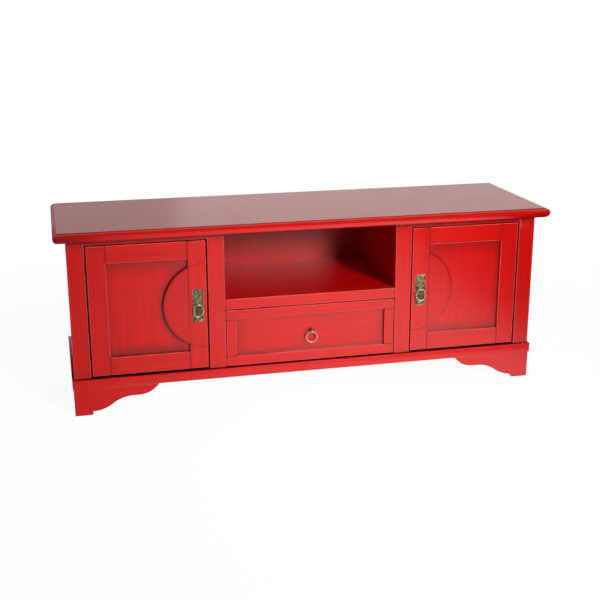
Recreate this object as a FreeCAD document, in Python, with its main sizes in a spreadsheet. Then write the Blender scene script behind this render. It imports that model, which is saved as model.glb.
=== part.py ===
import FreeCAD, Part
import math
import os
import re
import Sketcher

# Low TV cabinet: two frame-and-panel doors, an open bay over a drawer, bracket feet.
# X runs along the front, -Y is the front, Z is up from the floor. Millimetres.
# Every piece of the right half is modelled, and the left half is its mirror image.

SIZES = {
    # Whole cabinet and its top board
    "top_width": 1500,
    "top_depth": 450,
    "total_height": 558,
    "top_thickness": 30,
    "overhang": 34,
    "quirk_height": 1.8,
    "quirk_step": 0.5,
    "nose_upper_radius": 10.5,
    "nose_flat": 1,
    # Face frame and boards of the carcass
    "frame_thickness": 22,
    "stile_width": 50,
    "bay_width": 528,
    "top_rail_height": 14,
    "side_thickness": 18,
    "side_recess": 6,
    "divider_thickness": 18,
    "bottom_thickness": 18,
    "back_thickness": 6,
    "shelf_height": 327,
    "shelf_rail_height": 32,
    "shelf_thickness": 18,
    "dado_depth": 6,
    "tongue_height": 12,
    # Base: plinth moulding, brackets, skirts and blocks
    "plinth_height": 83,
    "moulding_height": 31,
    "moulding_proud": 6,
    "moulding_round": 5,
    "moulding_quirk": 1.2,
    "bracket_proud": 3,
    "bracket_thickness": 20,
    "foot_width": 52,
    "foot_step": 11,
    "ogee_length": 120,
    "bracket_flat": 18,
    "cove_length": 61,
    "cove_rise": 32,
    "side_flat": 18,
    "block_margin": 2,
    # Doors
    "front_recess": 1,
    "door_side_gap": 4.5,
    "door_top_gap": 3.5,
    "door_bottom_gap": 4.5,
    "door_thickness": 22,
    "door_member_width": 54,
    "panel_recess": 10,
    "panel_thickness": 6,
    "groove_depth": 8,
    "panel_float": 1,
    "moon_margin": 12,
    "moon_groove_radius": 1.6,
    "pivot_inset": 10,
    "pivot_setback": 6,
    "pin_radius": 3,
    "pin_seat": 12,
    "pin_end_gap": 2,
    "bush_radius": 5,
    "bush_length": 10,
    "running_clearance": 0.05,
    "press_clearance": 0.02,
    "sliding_clearance": 0.3,
    "catch_height": 24,
    "catch_depth": 12,
    "catch_lap": 14,
    "catch_drop": 30,
    "strike_margin": 2,
    "strike_thickness": 1.5,
    # Drawer
    "drawer_side_gap": 2,
    "drawer_top_gap": 3.5,
    "drawer_bottom_gap": 2.5,
    "drawer_front_thickness": 20,
    "drawer_member_width": 30,
    "drawer_side_thickness": 12,
    "drawer_side_drop": 24,
    "drawer_floor_thickness": 5,
    "drawer_floor_rise": 10,
    "drawer_floor_groove": 5,
    "drawer_rear_gap": 10,
    "runner_width": 14,
    "runner_height": 3,
    # Pulls
    "plate_width": 32.5,
    "plate_height": 99,
    "plate_thickness": 2,
    "door_ring_width": 31,
    "door_ring_height": 39,
    "door_wire_radius": 1.75,
    "door_ball_radius": 4.75,
    "door_eye_rise": 4,
    "drawer_ring_width": 37.5,
    "drawer_wire_radius": 2,
    "drawer_ball_radius": 5.2,
    "drawer_eye_rise": 3.5,
    "rosette_radius": 8,
    "rosette_thickness": 2,
    "eye_standoff": 7,
    "eye_width": 7,
    "ring_gap": 1,
    "eye_clearance": 0.85,
    "post_radius": 2.2,
    "post_seat": 10,
}

# Planes and lengths that follow from the sizes
PLACES = {
    "half_carcass": "top_width / 2 - overhang",
    "face": "overhang - top_depth / 2",
    "rear": "top_depth / 2",
    "slab": "top_thickness - quirk_height",
    "quirk_inset": "nose_upper_radius + quirk_step",
    "nose_lower_radius": "slab - nose_upper_radius - nose_flat",
    "frame_back": "face + frame_thickness",
    "underside": "total_height - top_thickness",
    "ledge": "plinth_height + moulding_height",
    "half_bay": "bay_width / 2",
    "opening_inner": "half_bay + stile_width",
    "opening_outer": "half_carcass - stile_width",
    "opening_top": "underside - top_rail_height",
    "side_outer": "half_carcass - side_recess",
    "side_inner": "side_outer - side_thickness",
    "divider_outer": "half_bay + divider_thickness",
    "shelf_end": "half_bay + dado_depth",
    "shelf_bottom": "shelf_height - shelf_thickness",
    "back_front": "rear - back_thickness",
    "shelf_rail_bottom": "shelf_height - shelf_rail_height",
    "moulding_outer": "half_carcass + moulding_proud",
    "moulding_front": "face - moulding_proud",
    "foot_outer": "half_carcass + bracket_proud",
    "foot_inner": "foot_outer - bracket_thickness",
    "foot_front": "face - bracket_proud",
    "foot_back": "foot_front + bracket_thickness",
    "bracket_length": "cove_length + bracket_flat + ogee_length + foot_width",
    "arch_height": "plinth_height - cove_rise",
    "ogee_rise": "arch_height - foot_step",
    "ogee_middle": "foot_step + ogee_rise / 2",
    "ogee_radius": "(ogee_length ^ 2 + ogee_rise ^ 2) / (4 * ogee_rise)",
    "cove_radius": "(cove_length ^ 2 + cove_rise ^ 2) / (2 * cove_rise)",
    "block_size": "foot_width - bracket_thickness - block_margin",
    "skirt_length": "rear - foot_back",
    "side_ogee": "(skirt_length - side_flat) / 2 - foot_width",
    "side_radius": "(side_ogee ^ 2 + ogee_rise ^ 2) / (4 * ogee_rise)",
    "free_edge": "opening_inner + door_side_gap",
    "hinge_edge": "opening_outer - door_side_gap",
    "door_bottom": "ledge + door_bottom_gap",
    "door_top": "opening_top - door_top_gap",
    "door_middle": "(door_bottom + door_top) / 2",
    "door_front": "face + front_recess",
    "door_back": "door_front + door_thickness",
    "panel_front": "door_front + panel_recess",
    "panel_back": "panel_front + panel_thickness",
    "moon_radius": "door_top - door_middle - door_member_width - moon_margin",
    "pivot_x": "hinge_edge - pivot_inset",
    "pivot_y": "door_front + pivot_setback",
    "pin_reach": "bush_length - pin_end_gap",
    "catch_front": "door_back + strike_thickness + sliding_clearance",
    "catch_top": "door_top - catch_drop",
    "drawer_edge": "half_bay - drawer_side_gap",
    "drawer_sight": "drawer_edge - drawer_member_width",
    "drawer_bottom": "ledge + drawer_bottom_gap",
    "drawer_top": "shelf_rail_bottom - drawer_top_gap",
    "drawer_back_face": "door_front + drawer_front_thickness",
    "drawer_end": "back_front - drawer_rear_gap",
    "drawer_inner": "drawer_edge - drawer_side_thickness",
    "drawer_side_bottom": "ledge + runner_height + sliding_clearance",
    "drawer_side_top": "drawer_top - drawer_side_drop",
    "drawer_floor": "drawer_side_bottom + drawer_floor_rise",
    "handle_x": "free_edge + door_member_width / 2",
    "plate_front": "door_front - plate_thickness",
    "door_eye_y": "plate_front - eye_standoff",
    "door_eye_z": "door_middle + door_eye_rise",
    "rosette_front": "panel_front - rosette_thickness",
    "drawer_eye_y": "door_front - drawer_wire_radius - ring_gap",
    "drawer_eye_z": "(drawer_bottom + drawer_top) / 2 + drawer_eye_rise",
}

ALONG_X = FreeCAD.Rotation(FreeCAD.Vector(0, 1, 0), 90)
ALONG_Y = FreeCAD.Rotation(FreeCAD.Vector(1, 0, 0), -90)
ALONG_Z = FreeCAD.Rotation()
AGAINST_Y = FreeCAD.Rotation(FreeCAD.Vector(1, 0, 0), 90)

FULL_HEIGHT = ("ledge", "underside")
IN_GROOVE = ("panel_front", "panel_back")

doc = FreeCAD.newDocument("tv_cabinet")
sheet = doc.addObject("Spreadsheet::Sheet", "Sizes")
for row, (alias, size) in enumerate(SIZES.items(), 1):
    sheet.set(f"A{row}", str(size))
    sheet.setAlias(f"A{row}", alias)
doc.recompute()

nodes = []


def expand(formula):
    """The formula with every size named by its cell and every place written out."""

    def written_out(match):
        word = match.group()
        if word in SIZES:
            return f"Sizes.{word}"
        if word in PLACES:
            return f"({expand(PLACES[word])})"
        return word

    return re.sub("[a-z_]+", written_out, formula)


def value(formula):
    """What the formula comes to with the sheet's present sizes."""
    return float(sheet.evalExpression(expand(formula)))


def bind(thing, **formulas):
    """Ties properties of a document object to the sheet."""
    for name, formula in formulas.items():
        thing.setExpression(name, expand(formula))
    return thing


def place(thing, x, y, z, turn=ALONG_Z):
    """Turns an object and ties its position to the sheet."""
    thing.Placement = FreeCAD.Placement(FreeCAD.Vector(), turn)
    for axis, formula in zip("xyz", (x, y, z)):
        thing.setExpression(f"Placement.Base.{axis}", expand(formula))
    return thing


def reach(span):
    """The distance between the two ends of a span."""
    return f"({span[1]}) - ({span[0]})"


def block(x, y, z):
    """A board between two planes on each axis."""
    box = doc.addObject("Part::Box", "Board")
    bind(box, Length=reach(x), Width=reach(y), Height=reach(z))
    return place(box, x[0], y[0], z[0])


def rod(radius, length, x, y, z, turn=ALONG_Z):
    """A round bar that starts at a point and runs along the turned axis."""
    bar = doc.addObject("Part::Cylinder", "Rod")
    bind(bar, Radius=radius, Height=length)
    return place(bar, x, y, z, turn)


def flat_ball(radius, width, x, y, z):
    """A sphere about a point, cut flat on both sides across X."""
    sphere = doc.addObject("Part::Sphere", "Ball")
    latitude = f"asin({width} / (2 * {radius}))"
    bind(sphere, Radius=radius, Angle1=f"-{latitude}", Angle2=latitude)
    return place(sphere, x, y, z, ALONG_X)


def hoop(radius, wire, x, y, z, turn=ALONG_Y, sweep=360):
    """A ring of round wire, whole or in part, about the turned axis."""
    ring = doc.addObject("Part::Torus", "Hoop")
    bind(ring, Radius1=radius, Radius2=wire)
    ring.Angle3 = sweep
    return place(ring, x, y, z, turn)


def fuse(*pieces):
    """Several shapes joined into one."""
    union = doc.addObject("Part::MultiFuse", "Fuse")
    union.Shapes = list(pieces)
    return union


def cut(base, *tools):
    """A shape less one or more others."""
    for tool in tools:
        rest = doc.addObject("Part::Cut", "Cut")
        rest.Base = base
        rest.Tool = tool
        base = rest
    return base


def common(first, second):
    """What two shapes share."""
    shared = doc.addObject("Part::Common", "Common")
    shared.Base = first
    shared.Tool = second
    return shared


def mirror(source):
    """The mirror image of a piece on the other side of the middle."""
    image = doc.addObject("Part::Mirroring", "Mirror")
    image.Source = source
    image.Normal = FreeCAD.Vector(1, 0, 0)
    return image


def group(*pieces):
    """Like pieces kept together as separate solids."""
    compound = doc.addObject("Part::Compound", "Group")
    compound.Links = list(pieces)
    return compound


def single(label, thing):
    """Names a finished piece of the cabinet."""
    thing.Label = label
    nodes.append(thing)
    return thing


def pair(label, thing):
    """Names a right-hand piece and adds the left-hand one."""
    single(f"right_{label}", thing)
    single(f"left_{label}", mirror(thing))


def both_sides(*pieces):
    """Right-hand pieces and their mirror images as one group."""
    return group(*pieces, *[mirror(piece) for piece in pieces])


def arc_between(start, end, radius):
    """An arc of under half a circle; a positive radius has its centre left of the way."""
    along = end.sub(start)
    middle = start.add(end).multiply(0.5)
    offset = math.copysign(math.sqrt(radius ** 2 - along.Length ** 2 / 4), radius)
    left = FreeCAD.Vector(-along.y, along.x, 0).normalize()
    centre = middle.add(left.multiply(offset))
    first, last = (start, end) if radius > 0 else (end, start)
    angles = [math.atan2(point.y - centre.y, point.x - centre.x) for point in (first, last)]
    circle = Part.Circle(centre, FreeCAD.Vector(0, 0, 1), abs(radius))
    return Part.ArcOfCircle(circle, *angles)


def dimension(sketch, name, constraint, formula):
    """Adds a dimension to a sketch and ties it to the sheet."""
    sketch.renameConstraint(sketch.addConstraint(constraint), name)
    sketch.setExpression(f"Constraints.{name}", expand(formula))


def outline(sketch, corners, arcs):
    """A closed outline through corners; arcs gives the signed radius of a side that is round."""
    points = [FreeCAD.Vector(value(u), value(v), 0) for u, v in corners]
    ends = []
    for index, start in enumerate(points):
        end = points[(index + 1) % len(points)]
        if index in arcs:
            radius = value(arcs[index])
            side = sketch.addGeometry(arc_between(start, end, radius))
            ends.append((side, 1, 2) if radius > 0 else (side, 2, 1))
        else:
            ends.append((sketch.addGeometry(Part.LineSegment(start, end)), 1, 2))
    for index, (side, first, last) in enumerate(ends):
        following, start, _ = ends[(index + 1) % len(ends)]
        sketch.addConstraint(Sketcher.Constraint("Coincident", side, last, following, start))
        for letter, kind, axis, formula in zip("uv", ("DistanceX", "DistanceY"), (-2, -1), corners[index]):
            if formula == "0":
                sketch.addConstraint(Sketcher.Constraint("PointOnObject", side, first, axis))
            else:
                distance = Sketcher.Constraint(kind, -1, 1, side, first, value(formula))
                dimension(sketch, f"{letter}{index}", distance, formula)
        if index in arcs:
            radius = Sketcher.Constraint("Radius", side, abs(value(arcs[index])))
            dimension(sketch, f"radius{index}", radius, arcs[index].lstrip("-"))


def pad(body, role, corners, length, arcs={}, lift="0", backwards=False):
    """Pads an outline drawn on one of the body's own planes."""
    sketch = body.newObject("Sketcher::SketchObject", "Outline")
    plane = next(item for item in body.Origin.OriginFeatures if item.Role == role)
    sketch.AttachmentSupport = (plane, [""])
    sketch.MapMode = "FlatFace"
    sketch.setExpression("AttachmentOffset.Base.z", expand(lift))
    outline(sketch, corners, arcs)
    feature = body.newObject("PartDesign::Pad", "Pad")
    feature.Profile = sketch
    feature.Reversed = backwards
    bind(feature, Length=length)
    doc.recompute()
    return feature


def dress(body, kind, size, chosen):
    """A fillet or chamfer on the edges of a body whose middles are chosen."""
    base = body.Tip
    edges = [f"Edge{i}" for i, edge in enumerate(base.Shape.Edges, 1) if chosen(edge.CenterOfMass)]
    feature = body.newObject(f"PartDesign::{kind}", kind)
    feature.Base = (base, edges)
    bind(feature, **{"Radius" if kind == "Fillet" else "Size": size})
    doc.recompute()


def near(a, b):
    """Whether two lengths are the same."""
    return abs(a - b) < 1e-4


def rectangle(u, v):
    """The corners of a rectangle between two spans."""
    return [(u[0], v[0]), (u[1], v[0]), (u[1], v[1]), (u[0], v[1])]


def grown(span, room):
    """A span made longer at both ends."""
    return (f"({span[0]}) - {room}", f"({span[1]}) + {room}")


def on_pivot(radius, length, z):
    """A round bar on the line that the right-hand door turns about."""
    return rod(radius, length, "pivot_x", "pivot_y", z)


def bush_hole(z):
    """The hole that a pivot bush is pressed into."""
    return on_pivot("bush_radius + press_clearance", "bush_length", z)


def post_hole(length, x, y, z):
    """The hole that the post of a pull goes through."""
    return rod("post_radius + press_clearance", length, x, y, z, ALONG_Y)


def top_board():
    """Slab with a nose on the front and both ends, and a thinner layer set back on it."""
    body = doc.addObject("PartDesign::Body", "TopBoard")
    pad(body, "XY_Plane", rectangle(("0", "top_width"), ("0", "top_depth")), "slab")
    depth = value("top_depth")
    for level, radius in ((value("slab"), "nose_upper_radius"), (0, "nose_lower_radius")):
        dress(body, "Fillet", radius, lambda c: near(c.z, level) and not near(c.y, depth))
    layer = rectangle(("quirk_inset", "top_width - quirk_inset"), ("quirk_inset", "top_depth"))
    pad(body, "XY_Plane", layer, "quirk_height", lift="slab")
    single("top_board", place(body, "-top_width / 2", "-top_depth / 2", "underside"))


def face_frame():
    """Stiles from the plinth to the top, and the rails between them."""
    depth = ("face", "frame_back")
    pair("outer_stile", block(("opening_outer", "half_carcass"), depth, FULL_HEIGHT))
    pair("inner_stile", block(("half_bay", "opening_inner"), depth, FULL_HEIGHT))
    rail = block(("opening_inner", "opening_outer"), depth, ("opening_top", "underside"))
    pair("top_rail", cut(rail, bush_hole("opening_top")))
    level = ("shelf_rail_bottom", "shelf_height")
    single("shelf_rail", block(("-half_bay", "half_bay"), depth, level))


def boards():
    """Sides, dividers, bottom, back and the shelf of the open bay."""
    inside = ("frame_back", "back_front")
    across = ("-side_inner", "side_inner")
    pair("side_panel", block(("side_inner", "side_outer"), ("frame_back", "rear"), FULL_HEIGHT))
    shelf = block(("-half_bay", "half_bay"), inside, ("shelf_bottom", "shelf_height"))
    tongues = block(("-shelf_end", "shelf_end"), inside, ("shelf_bottom", "shelf_bottom + tongue_height"))
    divider = block(("half_bay", "divider_outer"), inside, FULL_HEIGHT)
    pair("divider", cut(divider, tongues))
    single("shelf_board", fuse(shelf, tongues))
    bottom_level = ("ledge - bottom_thickness", "ledge")
    single("bottom_board", block(across, ("frame_back", "rear - frame_thickness"), bottom_level))
    single("back_panel", block(across, ("back_front", "rear"), FULL_HEIGHT))


def plinth():
    """Moulding mitred round the front and sides, closed by a plain rail behind."""
    width = "2 * moulding_outer"
    depth = "frame_back - moulding_front"
    mitre = "moulding_outer - side_inner"
    length = "rear - moulding_front"
    top = value("moulding_height")
    outer = value(mitre)

    front = doc.addObject("PartDesign::Body", "FrontMoulding")
    corners = [("0", "0"), (width, "0"), (f"{width} - ({mitre})", depth), (mitre, depth)]
    pad(front, "XY_Plane", corners, "moulding_height")
    dress(front, "Fillet", "moulding_round", lambda c: near(c.y, 0) and near(c.z, top))
    dress(front, "Chamfer", "moulding_quirk", lambda c: near(c.y, 0) and near(c.z, 0))
    place(front, "-moulding_outer", "moulding_front", "plinth_height")
    hole = bush_hole("ledge - bush_length")
    single("front_plinth_moulding", cut(front, hole, mirror(hole)))

    side = doc.addObject("PartDesign::Body", "SideMoulding")
    corners = [(mitre, "0"), (mitre, length), ("0", length), ("0", depth)]
    pad(side, "XY_Plane", corners, "moulding_height")
    dress(side, "Fillet", "moulding_round", lambda c: near(c.x, outer) and near(c.z, top))
    dress(side, "Chamfer", "moulding_quirk", lambda c: near(c.x, outer) and near(c.z, 0))
    pair("plinth_moulding", place(side, "side_inner", "moulding_front", "plinth_height"))

    across = ("-side_inner", "side_inner")
    level = ("plinth_height", "ledge")
    single("rear_rail", block(across, ("rear - frame_thickness", "rear"), level))


def feet():
    """Scalloped brackets in front, skirts at the sides and blocks in the corners."""
    bracket = doc.addObject("PartDesign::Body", "FrontBracket")
    foot = "bracket_length - foot_width"
    corners = [
        ("0", "plinth_height"),
        ("cove_length", "arch_height"),
        ("cove_length + bracket_flat", "arch_height"),
        ("cove_length + bracket_flat + ogee_length / 2", "ogee_middle"),
        (foot, "foot_step"),
        (foot, "0"),
        ("bracket_length", "0"),
        ("bracket_length", "plinth_height"),
    ]
    arcs = {0: "cove_radius", 2: "-ogee_radius", 3: "ogee_radius"}
    pad(bracket, "XZ_Plane", corners, "bracket_thickness", arcs, backwards=True)
    pair("front_bracket", place(bracket, "foot_outer - bracket_length", "foot_front", "0"))

    skirt = doc.addObject("PartDesign::Body", "SideSkirt")
    far = "skirt_length - foot_width"
    corners = [
        ("0", "0"),
        ("foot_width", "0"),
        ("foot_width", "foot_step"),
        ("foot_width + side_ogee / 2", "ogee_middle"),
        ("foot_width + side_ogee", "arch_height"),
        (f"{far} - side_ogee", "arch_height"),
        (f"{far} - side_ogee / 2", "ogee_middle"),
        (far, "foot_step"),
        (far, "0"),
        ("skirt_length", "0"),
        ("skirt_length", "plinth_height"),
        ("0", "plinth_height"),
    ]
    arcs = {2: "side_radius", 3: "-side_radius", 5: "-side_radius", 6: "side_radius"}
    pad(skirt, "YZ_Plane", corners, "bracket_thickness", arcs)
    pair("side_skirt", place(skirt, "foot_inner", "foot_back", "0"))

    across = ("foot_inner - block_size", "foot_inner")
    tall = ("0", "plinth_height")
    fore = block(across, ("foot_back", "foot_back + block_size"), tall)
    aft = block(across, ("rear - block_size", "rear"), tall)
    single("corner_blocks", both_sides(fore, aft))


def groove(x, z):
    """The space inside a frame's opening and the groove in its four edges."""
    return block(grown(x, "groove_depth"), IN_GROOVE, grown(z, "groove_depth"))


def framed_panel(x, z):
    """A panel that stands loose in the groove of its frame."""
    room = "(groove_depth - panel_float)"
    return block(grown(x, room), IN_GROOVE, grown(z, room))


def door():
    """Grooved stiles with tongued rails between them, a panel and the half moon on it."""
    depth = ("door_front", "door_back")
    tall = ("door_bottom", "door_top")
    sight_x = ("free_edge + door_member_width", "hinge_edge - door_member_width")
    sight_z = ("door_bottom + door_member_width", "door_top - door_member_width")
    tongue_x = grown(sight_x, "groove_depth")
    long_groove = block(tongue_x, IN_GROOVE, tall)

    seat = "pin_radius + press_clearance"
    upper_seat = on_pivot(seat, "pin_seat", "door_top - pin_seat")
    lower_seat = on_pivot(seat, "pin_seat", "door_bottom")
    hinge_stile = block((sight_x[1], "hinge_edge"), depth, tall)
    pair("door_hinge_stile", cut(hinge_stile, long_groove, upper_seat, lower_seat))

    rim = hoop("moon_radius", "moon_groove_radius", "free_edge", "door_front", "door_middle")
    hole = post_hole("post_seat", "handle_x", "door_front", "door_eye_z")
    handle_stile = block(("free_edge", sight_x[0]), depth, tall)
    pair("door_handle_stile", cut(handle_stile, long_groove, rim, hole))

    levels = {"top": (sight_z[1], "door_top"), "bottom": ("door_bottom", sight_z[0])}
    for name, level in levels.items():
        rail = fuse(block(sight_x, depth, level), block(tongue_x, IN_GROOVE, level))
        pair(f"door_{name}_rail", cut(rail, groove(sight_x, sight_z)))
    pair("door_panel", framed_panel(sight_x, sight_z))

    disc = rod("moon_radius", "panel_recess", "free_edge", "door_front", "door_middle", ALONG_Y)
    beside_stile = (sight_x[0], "free_edge + moon_radius")
    pair("door_moon", common(disc, block(beside_stile, ("door_front", "panel_front"), sight_z)))


def pivots():
    """Pins in the ends of the hinge stiles, the bushes they turn in, and the catches."""
    pin = "pin_seat + pin_reach"
    upper = on_pivot("pin_radius", f"{pin} + door_top_gap", "door_top - pin_seat")
    lower = on_pivot("pin_radius", f"{pin} + door_bottom_gap", "ledge - pin_reach")
    pair("door_pivot_pins", group(upper, lower))

    collar = "door_bottom_gap - sliding_clearance"
    bore = on_pivot("pin_radius + running_clearance", "total_height", "0")
    upper_bush = on_pivot("bush_radius", "bush_length", "opening_top")
    lower_bush = on_pivot("bush_radius", f"bush_length + {collar}", "ledge - bush_length")
    single("pivot_bushes", both_sides(cut(upper_bush, bore), cut(lower_bush, bore)))

    level = ("catch_top - catch_height", "catch_top")
    lap = "free_edge + catch_lap"
    catch_y = ("catch_front", "catch_front + catch_depth")
    single("door_catches", both_sides(block(("divider_outer", lap), catch_y, level)))
    strike_y = ("door_back", "door_back + strike_thickness")
    pair("door_strike_plate", block(("free_edge + strike_margin", lap), strike_y, level))


def drawer_front():
    """Grooved rails with tongued stiles between them and a panel."""
    depth = ("door_front", "drawer_back_face")
    wide = ("-drawer_edge", "drawer_edge")
    sight_x = ("-drawer_sight", "drawer_sight")
    sight_z = ("drawer_bottom + drawer_member_width", "drawer_top - drawer_member_width")
    tongue_z = grown(sight_z, "groove_depth")
    levels = {"top": (sight_z[1], "drawer_top"), "bottom": ("drawer_bottom", sight_z[0])}
    for name, level in levels.items():
        rail = block(wide, depth, level)
        single(f"drawer_{name}_rail", cut(rail, block(wide, IN_GROOVE, tongue_z)))
    stile_x = ("drawer_sight", "drawer_edge")
    stile = fuse(block(stile_x, depth, sight_z), block(stile_x, IN_GROOVE, tongue_z))
    pair("drawer_stile", cut(stile, groove(sight_x, sight_z)))
    hole = post_hole("panel_thickness", "0", "panel_front", "drawer_eye_z")
    single("drawer_panel", cut(framed_panel(sight_x, sight_z), hole))


def drawer_box():
    """Sides with a grooved-in floor, a back on the floor, and the runners below."""
    along = ("drawer_back_face", "drawer_end")
    tall = ("drawer_side_bottom", "drawer_side_top")
    floor_top = "drawer_floor + drawer_floor_thickness"
    floor_edge = "(drawer_inner + drawer_floor_groove)"
    floor = block((f"-{floor_edge}", floor_edge), along, ("drawer_floor", floor_top))
    pair("drawer_side", cut(block(("drawer_inner", "drawer_edge"), along, tall), floor))
    single("drawer_floor", floor)
    back_y = ("drawer_end - drawer_side_thickness", "drawer_end")
    across = ("-drawer_inner", "drawer_inner")
    single("drawer_back", block(across, back_y, (floor_top, "drawer_side_top")))

    runner_x = ("half_bay - runner_width", "half_bay")
    runner_z = ("ledge", "ledge + runner_height")
    single("drawer_runners", both_sides(block(runner_x, ("frame_back", "drawer_end"), runner_z)))


def eye_post(radius, wire, x, y, z, seat):
    """A ball with flat sides on a post, bored across for the ring."""
    head = flat_ball(radius, "eye_width", x, y, z)
    post = rod("post_radius", f"{seat} - ({y})", x, y, z, ALONG_Y)
    bore = rod(f"{wire} + eye_clearance", "eye_width", f"{x} - eye_width / 2", y, z, ALONG_X)
    return cut(fuse(head, post), bore)


def door_pulls():
    """A plate with a post and an oval ring on each door."""
    at = ("handle_x", "door_eye_y", "door_eye_z")
    plate_x = grown(("handle_x", "handle_x"), "plate_width / 2")
    plate_z = grown(("door_middle", "door_middle"), "plate_height / 2")
    plate = block(plate_x, ("plate_front", "door_front"), plate_z)
    hole = post_hole("plate_thickness", "handle_x", "plate_front", "door_eye_z")
    pair("door_handle_plate", cut(plate, hole))
    post = eye_post("door_ball_radius", "door_wire_radius", *at, "door_front + post_seat")
    pair("door_ring_post", post)

    wire = "door_wire_radius"
    bend = f"(door_ring_width / 2 - {wire})"
    straight = "(door_ring_height - door_ring_width)"
    upper_z = f"door_eye_z - {bend}"
    lower_z = f"{upper_z} - {straight}"
    upper = hoop(bend, wire, "handle_x", "door_eye_y", upper_z, AGAINST_Y, 180)
    lower = hoop(bend, wire, "handle_x", "door_eye_y", lower_z, ALONG_Y, 180)
    legs = [rod(wire, straight, f"handle_x {sign} {bend}", "door_eye_y", lower_z) for sign in "-+"]
    pair("door_ring", fuse(upper, lower, *legs))


def drawer_pull():
    """A rosette with a post and a round ring on the drawer."""
    wire = "drawer_wire_radius"
    at = ("0", "drawer_eye_y", "drawer_eye_z")
    post = eye_post("drawer_ball_radius", wire, *at, "panel_back")
    rosette = rod("rosette_radius", "rosette_thickness", "0", "rosette_front", "drawer_eye_z", ALONG_Y)
    single("drawer_ring_post", fuse(post, rosette))
    radius = f"(drawer_ring_width / 2 - {wire})"
    single("drawer_ring", hoop(radius, wire, "0", "drawer_eye_y", f"drawer_eye_z - {radius}"))


def write_parts():
    """Checks every object, then writes each piece to a file of its own."""
    doc.recompute()
    for thing in doc.Objects:
        if {"Invalid", "Error"} & set(thing.State):
            raise RuntimeError(f"{thing.Label} failed: {thing.State}")
    for piece in nodes:
        if piece.Shape.isNull() or not piece.Shape.isValid() or not piece.Shape.Solids:
            raise RuntimeError(f"{piece.Label} has no valid solid")
    os.makedirs("parts", exist_ok=True)
    for piece in nodes:
        piece.Shape.exportStep(f"parts/{piece.Label}.step")


top_board()
face_frame()
boards()
plinth()
feet()
door()
pivots()
drawer_front()
drawer_box()
door_pulls()
drawer_pull()
write_parts()
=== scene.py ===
import math

import bmesh
import bpy
from bpy.props import FloatProperty, FloatVectorProperty, PointerProperty
from mathutils import Matrix, Vector


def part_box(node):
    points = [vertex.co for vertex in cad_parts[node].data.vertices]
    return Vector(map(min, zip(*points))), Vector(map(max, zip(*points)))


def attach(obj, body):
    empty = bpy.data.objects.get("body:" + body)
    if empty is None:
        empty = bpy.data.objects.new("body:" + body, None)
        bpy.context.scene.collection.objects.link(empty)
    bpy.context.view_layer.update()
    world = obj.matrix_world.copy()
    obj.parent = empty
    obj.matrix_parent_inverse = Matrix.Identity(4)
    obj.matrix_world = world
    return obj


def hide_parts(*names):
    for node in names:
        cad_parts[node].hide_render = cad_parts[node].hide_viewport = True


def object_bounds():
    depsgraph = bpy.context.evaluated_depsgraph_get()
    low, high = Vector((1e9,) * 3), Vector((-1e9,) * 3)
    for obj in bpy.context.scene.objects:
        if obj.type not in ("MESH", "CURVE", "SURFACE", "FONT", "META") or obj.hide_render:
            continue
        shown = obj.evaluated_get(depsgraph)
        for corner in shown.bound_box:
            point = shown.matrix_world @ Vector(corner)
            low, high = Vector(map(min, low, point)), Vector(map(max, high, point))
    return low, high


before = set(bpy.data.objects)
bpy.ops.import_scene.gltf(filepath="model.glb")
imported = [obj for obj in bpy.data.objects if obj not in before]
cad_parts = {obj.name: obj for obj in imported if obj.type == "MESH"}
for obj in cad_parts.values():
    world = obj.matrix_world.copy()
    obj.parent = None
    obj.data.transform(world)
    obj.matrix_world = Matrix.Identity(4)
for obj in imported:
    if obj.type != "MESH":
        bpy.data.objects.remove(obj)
CAD_BOX = [list(corner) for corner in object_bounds()]

bl_info = {
    "name": "Red Lacquer Television Cabinet",
    "version": (1, 0, 0),
    "blender": (4, 5, 0),
    "location": "3D View > Sidebar > Cabinet",
    "description": "Lacquered joinery, brass pulls and a studio stage for a low cabinet with two doors",
    "category": "Add Mesh",
}

SIDES = {"left": -1, "right": 1}
# Marks a mesh carries: wear, also painted highlight, and glaze, also painted shade
MARKS = ("wear_and_highlight", "glaze_and_shade")

BLACK = (0, 0, 0, 1)
WHITE = (1, 1, 1, 1)
MM_PER_METRE = 1000

# Edges that bend by more than this are sharp
SHARP = math.radians(25)
# Places nearer to each other than this are the same
NEAR = 1e-6
# A point nearer to a cutting plane than this counts as lying in it
CUT_SLACK = 1e-7


def linear(code):
    """A colour written as six sRGB digits, in linear light."""
    parts = [int(code[i:i + 2], 16) / 255 for i in (0, 2, 4)]
    return tuple(p / 12.92 if p <= 0.04045 else ((p + 0.055) / 1.055) ** 2.4 for p in parts)


def colour(name, description, code):
    """A colour that a user may change."""
    return FloatVectorProperty(name=name, description=description, default=linear(code),
                               size=3, min=0, max=1, subtype="COLOR")


def length(name, description, millimetres):
    """A length that a user may change."""
    return FloatProperty(name=name, description=description, default=millimetres / MM_PER_METRE,
                         min=0, precision=5, subtype="DISTANCE", unit="LENGTH")


def share(name, description, default):
    """A plain number from nought to one that a user may change."""
    return FloatProperty(name=name, description=description, default=default,
                         min=0, max=1, subtype="FACTOR")


def power(name, description, watts):
    """The power of a lamp that a user may change."""
    return FloatProperty(name=name, description=description, default=watts, min=0, unit="POWER")


def point(name, description, metres):
    """A place that a user may change."""
    return FloatVectorProperty(name=name, description=description, default=metres,
                               size=3, subtype="TRANSLATION", unit="LENGTH")


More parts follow.
